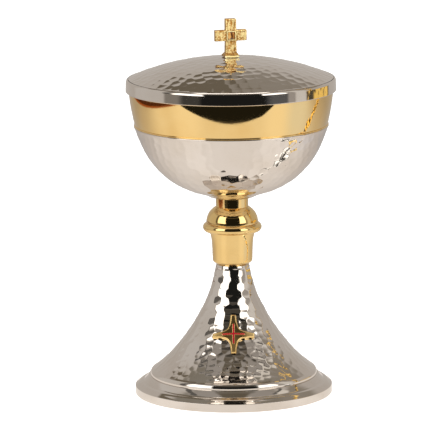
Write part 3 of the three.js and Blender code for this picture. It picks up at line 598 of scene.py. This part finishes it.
# Stem
def seat_ring():
    bore = ROD_RADIUS + FIT
    return lathe("seat_ring", softened([
        (bore, CONE_TOP_Z), (SEAT_RING_RADIUS, CONE_TOP_Z), (SEAT_RING_RADIUS, BELL_Z), (bore, BELL_Z),
    ], 0.2), 128)


def bell():
    bore, top = ROD_RADIUS + FIT, RING_Z - STEM_WALL
    side = Line(BELL_LINE)
    return lathe("bell", softened([
        (SEAT_RING_RADIUS - STEM_WALL, BELL_Z),
        *arc(BELL_LINE[0][0] - BELL_ROUND, BELL_Z + BELL_ROUND, BELL_ROUND, -90, -8, 10),
        *side.along(0, 24),
        (bore, RING_Z),
        (bore, top),
        (BELL_LINE[3][0] - STEM_WALL, top),
        *side.along(STEM_WALL, 6, 0.75, 0.1),
        (SEAT_RING_RADIUS - STEM_WALL, BELL_Z + 2 * STEM_WALL),
    ], 0.15), 192)


def knop_ring():
    half, bore = RING_HEIGHT / 2, ROD_RADIUS + FIT
    return lathe("knop_torus", [
        (bore, RING_Z), *arc(RING_RADIUS - half, RING_Z + half, half, -90, 90, 32), (bore, RING_Z + RING_HEIGHT),
    ], 192)


def knop_dome():
    bore = ROD_RADIUS + FIT
    side = Line(DOME_KNOP_LINE)
    return lathe("knop_cap", softened([
        *side.along(0, 24),
        (COLLAR_RADIUS + 0.3, COLLAR_Z),
        (bore, COLLAR_Z),
        (bore, COLLAR_Z - STEM_WALL),
        (COLLAR_RADIUS - 0.6, COLLAR_Z - STEM_WALL),
        *side.along(STEM_WALL, 8, 0.9, 0)[:-1],
        (DOME_KNOP_LINE[0][0] - STEM_WALL, DOME_KNOP_Z),
    ], 0.2), 192)


def collar():
    inner = HUB_RADIUS + FIT
    return lathe("collar", softened([
        (inner, COLLAR_Z), (COLLAR_RADIUS, COLLAR_Z), (COLLAR_RADIUS, CUP_Z), (inner, CUP_Z),
    ], 0.12), 192)


dress(seat_ring(), gilt, "gilt", "vessel", "stem_seat_ring")
dress(bell(), gilt, "gilt", "vessel", "knop_bell")
dress(knop_ring(), gilt, "gilt", "vessel", "knop_ring")
dress(knop_dome(), gilt, "gilt", "vessel", "knop_dome")
dress(collar(), gilt, "gilt", "vessel", "stem_collar")

# Cup
cup_line = Line(CUP_LINE)


def cup_shell():
    hole, floor = HUB_RADIUS + FIT, CUP_Z + SHELL_WALL
    closing = [
        (SHELL_RIM_RADIUS, SHELL_RIM_Z - 0.45),
        (SHELL_RIM_RADIUS - 0.05, SHELL_RIM_Z - 0.12),
        (SHELL_RIM_RADIUS - 0.2, SHELL_RIM_Z),
        (SHELL_RIM_RADIUS - SHELL_WALL, SHELL_RIM_Z),
        *cup_line.along(SHELL_WALL, 20, 0.97, 0.03),
        (CUP_BASE_RADIUS - 0.4, floor),
        (hole, floor),
        (hole, CUP_Z),
        (CUP_BASE_RADIUS - 0.3, CUP_Z),
    ]
    return hammered("hammered_cup", cup_line, closing, start=0.01, end=0.99, rows=150, count=500,
                    pitch=5.8, depth=0.28, seed=8)


def cup_liner():
    mouth = Line(MOUTH_LINE)
    lip = MOUTH_LINE[-1][0]
    outside = SHELL_WALL + 2 * FIT
    inside = outside + LINER_WALL
    return lathe("liner", softened([
        (0, LINER_Z),
        (LINER_FLAT_RADIUS, LINER_Z),
        *cup_line.along(outside, 24, 0.1, 0.97),
        (SHELL_RIM_RADIUS - SHELL_WALL - FIT, SHELL_RIM_Z),
        *arc(LINER_STEP_RADIUS + 0.05, SHELL_RIM_Z + 0.44, 0.42, -90, 100, 12),
        *mouth.along(0, 32, mouth.share_at_height(SHELL_RIM_Z + 1.0)),
        (lip - 0.25, LIP_Z),
        (lip - LINER_WALL, LIP_Z),
        *mouth.along(LINER_WALL, 24, 0.97, 0),
        *cup_line.along(inside, 40, 0.97, 0.1),
        (LINER_FLAT_RADIUS, LINER_Z + LINER_WALL),
        (0, LINER_Z + LINER_WALL),
    ], 0.2), 288)


dress(cup_shell(), silvered, "silvered", "vessel", "cup_shell")
dress(cup_liner(), gilt, "gilt", "vessel", "cup_liner")

# Lid
dome_centre = LID_TOP_Z - (
    LID_RIM_RADIUS**2 - LID_TOP_RADIUS**2 + (LID_TOP_Z - DOME_RIM_Z) ** 2
) / (2 * (LID_TOP_Z - DOME_RIM_Z))
dome_bow = math.hypot(LID_TOP_RADIUS, LID_TOP_Z - dome_centre)
dome_line = Line([
    (r, dome_centre + math.sqrt(dome_bow**2 - r**2)) for r in np.linspace(LID_RIM_RADIUS, LID_TOP_RADIUS, 12)
])


def lid_band():
    skirt, bore, socket = LIP_RADIUS + 0.4, GUIDE_RADIUS + FIT, LID_RIM_RADIUS + FIT
    centre = BAND_TOP_RADIUS - BAND_ROUND
    turn = math.acos((socket - centre) / BAND_ROUND)
    shoulder = BAND_TOP_Z - BAND_ROUND * math.sin(turn)
    return lathe("lid_rim", softened([
        (skirt, BAND_Z),
        (BAND_RADIUS - 0.5, BAND_Z),
        (BAND_RADIUS, BAND_Z + 0.4),
        (BAND_RADIUS, BAND_Z + 0.6),
        (BAND_TOP_RADIUS + 0.02, shoulder - 0.2),
        *arc(centre, shoulder, BAND_ROUND, 2, math.degrees(turn), 14),
        (socket, LID_SEAT_Z),
        (bore, LID_SEAT_Z),
        (bore, LIP_Z),
        (skirt, LIP_Z),
    ], 0.15), 288)


def lid_dome():
    hole, under = STUD_RADIUS + FIT, LID_TOP_Z - DOME_WALL
    closing = [
        (LID_TOP_RADIUS - 0.5, LID_TOP_Z),
        (hole, LID_TOP_Z),
        (hole, under),
        (LID_TOP_RADIUS, under),
        *dome_line.along(DOME_WALL, 20, 0.97, 0.05),
        (GUIDE_RADIUS + FIT, LID_SEAT_Z),
        (LID_RIM_RADIUS, LID_SEAT_Z),
    ]
    return hammered("hammered_dome", dome_line, closing, start=0, end=0.99, rows=150, count=540,
                    pitch=6.2, depth=0.26, seed=6)


def guide_ring():
    inner, top = GUIDE_RADIUS - GUIDE_WALL, LID_SEAT_Z - FIT
    return lathe("lid_inner_ring", softened([
        (inner, GUIDE_Z), (GUIDE_RADIUS, GUIDE_Z), (GUIDE_RADIUS, top), (inner, top),
    ], 0.2), 256)


dress(lid_band(), silvered_plain, "silvered_plain", "lid", "lid_band")
dress(lid_dome(), silvered, "silvered", "lid", "lid_dome")
dress(guide_ring(), silvered_plain, "silvered_plain", "lid", "lid_guide_ring")


# Cross on the lid
def offset(outline, distance):
    """A closed outline moved inwards, each corner along the line that halves it."""
    points = np.array(outline, float)
    ways = np.roll(points, -1, axis=0) - points
    ways /= np.linalg.norm(ways, axis=1)[:, None]
    inwards = np.stack([-ways[:, 1], ways[:, 0]], axis=1)
    before = np.roll(inwards, 1, axis=0)
    share = 1 + (inwards * before).sum(axis=1)
    return points + distance * (inwards + before) / share[:, None]


def crossed(x, y, z):
    """A point of the cross, turned with it about the lid's axis."""
    c, s = math.cos(CROSS_TURN), math.sin(CROSS_TURN)
    return (c * x - s * y, s * x + c * y, z)


def cross_body():
    """The cross itself: rounded edges, and a shallow field sunk in its front and back."""
    foot = LID_TOP_Z + PLINTH_HEIGHT + PLINTH_FLARE - 0.4
    low, high = CROSS_ARM_Z - CROSS_ARM_HEIGHT / 2, CROSS_ARM_Z + CROSS_ARM_HEIGHT / 2
    half, end = CROSS_POST_WIDTH / 2, CROSS_SPAN / 2
    right = [(CROSS_FOOT_WIDTH / 2, foot), (half, low), (end, low), (end, high), (half, high), (half, CROSS_TOP_Z)]
    outline = softened(right + [(-x, z) for x, z in right[::-1]], CROSS_CORNER, 4)
    deep, field = CROSS_DEPTH / 2, CROSS_EDGE + CROSS_BORDER

    def loop(distance, depth):
        return [crossed(x, depth, z) for x, z in offset(outline, distance)]

    def face(side):
        rings = [loop(CROSS_EDGE * (1 - math.cos(a)), side * (deep - CROSS_EDGE * (1 - math.sin(a))))
                 for a in np.radians(np.linspace(0, 90, 6))]
        rings += [loop(field, side * deep), loop(field + 0.2, side * (deep - CROSS_SUNK))]
        return rings + [[crossed(0, side * (deep - CROSS_SUNK), CROSS_ARM_Z)]]

    return swept("cross_body", face(1)[::-1] + face(-1), closed=False)


def square(width, depth, z, corner=0.35, forwards=False):
    """A ring of points round a rectangle with rounded corners, level or standing upright."""
    w, d = width / 2, depth / 2
    outline = softened([(w, -d), (w, d), (-w, d), (-w, -d)], corner, 4)
    if forwards:
        return [crossed(x, -z, CROSS_ARM_Z + y) for x, y in outline]
    return [crossed(x, y, z) for x, y in outline]


def cross_plinth():
    low, shoulder = LID_TOP_Z, LID_TOP_Z + PLINTH_HEIGHT
    top = shoulder + PLINTH_FLARE
    wide, base = PLINTH_WIDTH, PLINTH_WIDTH - 2 * PLINTH_UNDERCUT
    slab = [(base, low), (base, low + 0.2), (wide - 0.2, low + 0.4), (wide, low + 0.5),
            (wide, shoulder - 0.3), (wide - 0.15, shoulder - 0.08), (wide - 0.5, shoulder)]
    rings = [[crossed(0, 0, low)]] + [square(w, w, z) for w, z in slab]
    rings += [square(CROSS_FOOT_WIDTH + 1.0, CROSS_DEPTH + 2.0, shoulder + 0.5 * PLINTH_FLARE),
              square(CROSS_FOOT_WIDTH + 0.1, CROSS_DEPTH + 0.7, top), [crossed(0, 0, top)]]
    return swept("cross_plinth", rings, closed=False)


def cross_bezel():
    """The raised square setting of the stone."""
    inner = STONE_WIDTH + 0.3
    outer = inner + 2 * BEZEL_WALL
    base, front = CROSS_DEPTH / 2 - 0.3, CROSS_DEPTH / 2 + BEZEL_HEIGHT
    sections = [
        (outer, base), (outer, front - 0.3), (outer - 0.15, front - 0.08), (outer - 0.45, front),
        (inner + 0.2, front), (inner, front - 0.15), (inner, base),
    ]
    return swept("cross_bezel", [square(w, w, z, 0.4, True) for w, z in sections])


def cross_stud():
    return lathe("cross_stud", softened([
        (0, LID_TOP_Z - STUD_LENGTH), (STUD_RADIUS, LID_TOP_Z - STUD_LENGTH), (STUD_RADIUS, LID_TOP_Z + 0.5),
        (0, LID_TOP_Z + 0.5),
    ], 0.3), 48)


def cast_piece(obj, fronts, *replaced):
    """Dresses a piece of the cross: its flat fronts and backs get the given finish, its other faces a darker cast
    gold, which is painted shade.
    """
    dress(obj, fronts, "cast_gilt", "lid", *replaced)
    obj.data.materials.append(cast_painted_shade)
    front = Vector(crossed(0, -1, 0))
    for face in obj.data.polygons:
        face.material_index = int(abs(face.normal.dot(front)) <= 0.85)


cast_piece(cross_body(), cast_gilt, "finial_cross")
# The fronts of the plinth and the bezel take the painted highlight, and their other faces the painted shade
cast_piece(cross_plinth(), cast_painted_highlight)
cast_piece(cross_bezel(), cast_painted_highlight)
dress(cross_stud(), cast_painted_shade, "cast_gilt", "lid")

# CAD nodes that stay as they are
for name in ("emblem_pin", "emblem_washer", "emblem_nut", "tie_rod", "foot_washer", "foot_nut", "cup_boss",
             "finial_washer", "finial_nut"):
    paint(NODES[name], steel)
paint(NODES["finial_stone"], stone)


# Studio: the room, as bearings and heights in degrees
SURROUND_BASE = (0.54, 0.505, 0.47, 1)
DARK = (0.014, 0.014, 0.013)
LIGHT = (2.2, 2.17, 2.1)
# Panels: side that the bearings count from, least and greatest bearing, lean in degrees a degree of height,
# least and greatest height, softness of the edges, colour
PANELS = [
    ("front", -400, 400, 0, 51, 100, 3, (0.26, 0.24, 0.205)),
    ("back", -50, 50, 0, 39, 72, 1.5, (0.17, 0.144, 0.106)),
    ("front", 95, 180, 0, 33, 60, 5, (0.31, 0.28, 0.24)),
    ("front", -400, 400, 0, 80, 100, 5, (0.18, 0.155, 0.12)),
    # Wall at the left
    ("front", -128, -76, 0, -20, 47, 4, (0.62, 0.595, 0.57)),
    # Room in front, beyond the table: under the lights, and dark between them
    ("front", -77, -30, 0, -60, 3, 2, (0.27, 0.25, 0.225)),
    ("front", -57, -30, 0, -60, 3, 5, (0.06, 0.057, 0.05)),
    ("front", 36, 72, 0, -60, 3, 2, (0.12, 0.12, 0.12)),
    ("front", 32, 42, 0, -60, 3, 5, (0.05, 0.052, 0.055)),
    ("front", -66, 58, 0, -60, -13, 1.5, DARK),
    ("front", -34, 38, 0, -60, 40, 3, DARK),
    ("front", -95, 110, 0, 52, 76, 4, (0.37, 0.345, 0.32)),
    ("front", -38, 42, 0, 38, 60, 5, (0.07, 0.062, 0.05)),
    ("front", -36, 36, 0, 60, 80, 6, (0.145, 0.124, 0.094)),
    # Lights at the front left and right, and the strips beside them
    ("front", -66, -29, -0.15, 2, 48, 1.5, LIGHT),
    ("front", 33, 62, 0.12, 2, 44, 1.5, LIGHT),
    ("front", -78, -68, -0.2, 2, 72, 1.5, (0.13, 0.124, 0.115)),
    ("front", 64, 73, 0, -20, 46, 2, (0.42, 0.39, 0.36)),
    ("front", 74, 80, 0.15, 44, 72, 1.5, (0.13, 0.124, 0.115)),
    ("front", 80, 96, 0.15, 46, 74, 1.5, (0.8, 0.76, 0.7)),
    ("front", 74, 89, 0, -30, 44, 1.5, (0.76, 0.73, 0.69)),
    # Dark ware at the right
    ("front", 90, 132, 0, -26, 1, 2, (0.09, 0.075, 0.05)),
]
ROOM_RADIUS, ROOM_MIDDLE_Z = 3.0, 0.12

# The table, as polished metal sees it: bright in front under the lights, with painted shade behind
TABLE_EDGE, TABLE_REACH = -0.36, 1.1
TABLE_FRONT, TABLE_RIGHT = (0.96, 0.9, 0.84, 1), (0.87, 0.9, 1.02, 1)
TABLE_BACK_SHADE, TABLE_FAR_SHADE, TABLE_GLARE = (0.64, 0.585, 0.54, 1), (0.47, 0.44, 0.42, 1), (1.06, 1.0, 0.94, 1)
WOOD_FAR, WOOD_MIDDLE, WOOD_RIM, WOOD_NEAR = -0.74, -0.66, -0.635, -0.6
WOOD, WOOD_GLOW, BEYOND_WOOD = (0.085, 0.027, 0.013, 1), (0.4, 0.11, 0.025, 1), (0.42, 0.37, 0.34, 1)
CORD_START, CORD_Y, CORD_GILT_FROM = 0.075, -0.046, 0.22


def soft_step(tree, value, edge, soft, rising=True):
    made = node(tree, "MapRange", {0: value, 1: edge - soft, 2: edge + soft, 3: 0.0, 4: 1.0},
                interpolation_type="SMOOTHSTEP").outputs[0]
    return made if rising else minus(tree, 1.0, made)


def bearing_and_height(tree, place):
    """Degrees from the front, right-hand side positive, the same from the back, and degrees of height."""
    way = node(tree, "VectorMath", {0: place}, operation="NORMALIZE").outputs[0]
    x, y, z = node(tree, "SeparateXYZ", {0: way}).outputs
    turn = 180 / math.pi
    front = times(tree, math_node(tree, "ARCTAN2", x, times(tree, y, -1.0)), turn)
    back = times(tree, math_node(tree, "ARCTAN2", x, y), turn)
    return front, back, times(tree, math_node(tree, "ARCSINE", z), turn)


def window(tree, value, low, high, soft):
    """1 between two edges, 0 outside them."""
    return times(tree, soft_step(tree, value, low, soft), soft_step(tree, value, high, soft, False))


def glossy_only(obj):
    """Puts a piece on the stage for reflections alone."""
    obj.visible_camera = False
    obj.visible_diffuse = False
    obj.visible_transmission = False
    obj.visible_volume_scatter = False
    obj.visible_shadow = False


def sheet(name, left, front, right, back, z):
    """A level rectangle."""
    mesh = bpy.data.meshes.new(name)
    mesh.from_pydata([(left, front, z), (right, front, z), (right, back, z), (left, back, z)], [], [(0, 1, 2, 3)])
    obj = bpy.data.objects.new(name, mesh)
    bpy.context.scene.collection.objects.link(obj)
    return obj


def surround():
    """What polished metal sees: a far shell round the object, painted with soft-edged panels."""
    shape = bmesh.new()
    bmesh.ops.create_icosphere(shape, subdivisions=4, radius=ROOM_RADIUS)
    mesh = bpy.data.meshes.new("stage_surround")
    shape.to_mesh(mesh)
    shape.free()
    shell = bpy.data.objects.new("stage_surround", mesh)
    shell.location = (0, 0, ROOM_MIDDLE_Z)
    bpy.context.scene.collection.objects.link(shell)
    made, tree = material("surround")
    front, back, height = bearing_and_height(tree, node(tree, "TexCoord").outputs["Object"])
    colour = SURROUND_BASE
    for side, low_a, high_a, lean, low_h, high_h, soft, shade in PANELS:
        bearing = front if side == "front" else back
        if lean:
            bearing = minus(tree, bearing, times(tree, height, lean))
        mask = times(tree, window(tree, bearing, low_a, high_a, soft), window(tree, height, low_h, high_h, soft))
        colour = mix_colour(tree, mask, colour, (*shade, 1))
    # Gilt ware among the dark ware
    mask = times(tree, window(tree, front, 101, 130, 2), window(tree, height, -26, 1, 2))
    mask = times(tree, mask, soft_step(tree, noise(tree, 6, 3), 0.42, 0.03))
    colour = mix_colour(tree, mask, colour, (1.1, 0.72, 0.18, 1))
    # The cord going up, which bends aside high up
    rise = greater(tree, minus(tree, height, 24.0), 0.0)
    aside = minus(tree, minus(tree, front, times(tree, height, 0.25)), times(tree, times(tree, rise, rise), 0.035))
    aside = plus(tree, aside, ramp(tree, noise(tree, 2.5, 1), 0.3, 0.7, -4, 4))
    mask = times(tree, window(tree, aside, 91, 97, 0.7), window(tree, height, -40, 62, 2))
    beads = soft_step(tree, noise(tree, 9, 2), 0.5, 0.04)
    golden = mix_colour(tree, beads, (0.1, 0.06, 0.02, 1), (1.3, 0.85, 0.25, 1))
    finish_surface(tree, node(tree, "Emission", {"Color": mix_colour(tree, mask, colour, golden)}))
    mesh.materials.append(made)
    glossy_only(shell)


def overhead_card():
    """A light right above the lid, which the cup hides from the foot."""
    card = sheet("stage_card", -0.078, -0.06, 0.078, 0.0, 0.36)
    made, tree = material("card")
    finish_surface(tree, node(tree, "Emission", {"Color": (3.2, 3.1, 3.0, 1)}))
    card.data.materials.append(made)
    glossy_only(card)


def table_colour(tree, x, y, front):
    """Bright in front, greyer behind, which is painted shade, with brown wood along the left edge, lighter at its rim.
    """
    colour = mix_colour(tree, soft_step(tree, x, 0.3, 0.1), TABLE_FRONT, TABLE_RIGHT)
    # Painted shade: greyer behind the object, and greyer still further back
    colour = mix_colour(tree, soft_step(tree, y, 0.09, 0.14), colour, TABLE_BACK_SHADE)
    colour = mix_colour(tree, soft_step(tree, y, 0.35, 0.2), colour, TABLE_FAR_SHADE)
    glare = plus(tree, window(tree, front, -66, -36, 10), window(tree, front, 38, 66, 10))
    colour = mix_colour(tree, glare, colour, TABLE_GLARE)
    colour = mix_colour(tree, soft_step(tree, x, WOOD_MIDDLE, 0.004, False), colour, BEYOND_WOOD)
    colour = mix_colour(tree, window(tree, x, WOOD_FAR, WOOD_NEAR, 0.004), colour, WOOD)
    return mix_colour(tree, window(tree, x, WOOD_RIM, WOOD_NEAR, 0.012), colour, WOOD_GLOW)


def with_cord(tree, table, x, y):
    """The table with a fold of the backdrop at its right, and in it a cord: dark with painted white highlights, then
    dark and gold.
    """
    out_by = [greater(tree, minus(tree, x, start), 0.0) for start in (0.18, 0.3)]
    bend = plus(tree, times(tree, out_by[0], 0.2), times(tree, out_by[1], 0.6))
    aside = minus(tree, minus(tree, y, CORD_Y), bend)
    width = plus(tree, times(tree, x, 0.035), 0.008)
    aside = plus(tree, math_node(tree, "DIVIDE", aside, width), ramp(tree, noise(tree, 24, 1), 0.3, 0.7, -0.6, 0.6))
    cord = times(tree, window(tree, aside, -1, 1, 0.1), soft_step(tree, x, CORD_START, 0.003))
    bits = noise(tree, 48, 1)
    # The white on the dark cord is painted highlight
    dark_with_highlights = mix_colour(tree, soft_step(tree, bits, 0.52, 0.02), (0.015, 0.013, 0.01, 1), (1.9, 1.85, 1.75, 1))
    golden = mix_colour(tree, soft_step(tree, bits, 0.5, 0.03), (0.1, 0.055, 0.012, 1), (1.6, 1.1, 0.35, 1))
    return mix_colour(tree, cord, table, mix_colour(tree, soft_step(tree, x, CORD_GILT_FROM, 0.02), dark_with_highlights, golden))


def floor():
    """White paper, which polished metal sees as the table."""
    obj = sheet("stage_floor", -8, -8, 8, 8, 0)
    made, tree = material("paper")
    rays = node(tree, "LightPath")
    seen = greater(tree, rays.outputs["Is Camera Ray"], rays.outputs["Is Transmission Ray"])
    grain = ramp(tree, noise(tree, 30, 3), 0.3, 0.7, 0, 1)
    matt = node(tree, "BsdfDiffuse", {"Color": mix_colour(tree, grain, (0.93, 0.92, 0.905, 1), (0.9, 0.89, 0.875, 1))})
    glow = node(tree, "Emission", {"Color": (1, 1, 1, 1), "Strength": times(tree, seen, 0.4)})
    plain = node(tree, "AddShader", {0: matt.outputs[0], 1: glow.outputs[0]})

    place = node(tree, "TexCoord").outputs["Object"]
    x, y, _ = node(tree, "SeparateXYZ", {0: place}).outputs
    front = bearing_and_height(tree, place)[0]
    table = node(tree, "Emission", {"Color": with_cord(tree, table_colour(tree, x, y, front), x, y)})
    # Past the table's front edge, which bends forwards at the right, and far off, metal sees the room instead
    bend = times(tree, greater(tree, minus(tree, x, 0.25), 0.0), 0.35)
    reach = node(tree, "VectorMath", {0: place}, operation="LENGTH").outputs["Value"]
    ends = greater(tree, soft_step(tree, plus(tree, y, bend), TABLE_EDGE, 0.006, False),
                   soft_step(tree, reach, TABLE_REACH, 0.15))
    through = node(tree, "BsdfTransparent", {"Color": (1, 1, 1, 1)})
    mirrored = node(tree, "MixShader", {0: ends, 1: table.outputs[0], 2: through.outputs[0]})
    both = node(tree, "MixShader", {0: rays.outputs["Is Glossy Ray"], 1: plain.outputs[0], 2: mirrored.outputs[0]})
    finish_surface(tree, both)
    obj.data.materials.append(made)


def world():
    """Plain soft light, and white wherever the world itself is seen."""
    made = bpy.data.worlds.new("studio")
    bpy.context.scene.world = made
    made.use_nodes = True
    tree = made.node_tree
    tree.nodes.clear()
    rays = node(tree, "LightPath")
    seen = greater(tree, rays.outputs["Is Camera Ray"], rays.outputs["Is Glossy Ray"])
    seen = greater(tree, seen, rays.outputs["Is Transmission Ray"])
    light = node(tree, "Background", {"Color": (1, 1, 1, 1), "Strength": ramp(tree, seen, 0, 1, 0.45, 1.0)})
    node(tree, "OutputWorld", {"Surface": light.outputs[0]})


LAMP_TARGET = Vector((0, 0, 0.1))
# Name, place, width, height, power
LAMPS = [
    ("lamp_left", (-1.3, -1.4, 1.2), 1.0, 1.4, 26),
    ("lamp_right", (1.3, -1.4, 1.2), 1.0, 1.4, 26),
    ("lamp_over", (0, 0.3, 1.9), 1.6, 1.6, 22),
]


def lamp(name, place, width, height, power):
    """A soft light on the matt and transparent surfaces; polished metal sees the panels instead."""
    light = bpy.data.lights.new(name, "AREA")
    light.shape = "RECTANGLE"
    light.size, light.size_y, light.energy = width, height, power
    obj = bpy.data.objects.new(name, light)
    obj.location = place
    obj.rotation_euler = (LAMP_TARGET - Vector(place)).to_track_quat("-Z", "Y").to_euler()
    obj.visible_glossy = False
    bpy.context.scene.collection.objects.link(obj)


surround()
overhead_card()
floor()
world()
for values in LAMPS:
    lamp(*values)


# Camera: AIM_X and AIM_Y are the pixel, from the picture's upper left corner, of the axis at AIM_HEIGHT
IMAGE = 433
PIXELS_PER_METRE = 1690.0
EYE_DISTANCE, EYE_PITCH, EYE_ROLL = 2.5, math.radians(10.4), math.radians(0.6)
AIM_HEIGHT, AIM_X, AIM_Y = 0.120, 231.95, 192.8


def camera():
    data = bpy.data.cameras.new("camera")
    data.sensor_width = 36.0
    data.lens = 36.0 * PIXELS_PER_METRE * EYE_DISTANCE / IMAGE
    data.clip_start, data.clip_end = 0.1, 50
    obj = bpy.data.objects.new("camera", data)
    bpy.context.scene.collection.objects.link(obj)
    back = Vector((0, -math.cos(EYE_PITCH), math.sin(EYE_PITCH)))
    right, up = Vector((1, 0, 0)), Vector((0, math.sin(EYE_PITCH), math.cos(EYE_PITCH)))
    c, s = math.cos(EYE_ROLL), math.sin(EYE_ROLL)
    right, up = c * right - s * up, s * right + c * up
    aim = Vector((0, 0, AIM_HEIGHT))
    aim -= right * (AIM_X - IMAGE / 2) / PIXELS_PER_METRE
    aim += up * (AIM_Y - IMAGE / 2) / PIXELS_PER_METRE
    turn = Matrix((right, up, back)).transposed().to_4x4()
    obj.matrix_world = Matrix.Translation(aim + back * EYE_DISTANCE) @ turn
    bpy.context.scene.camera = obj


camera()
bpy.context.scene.view_settings.view_transform = "Standard"
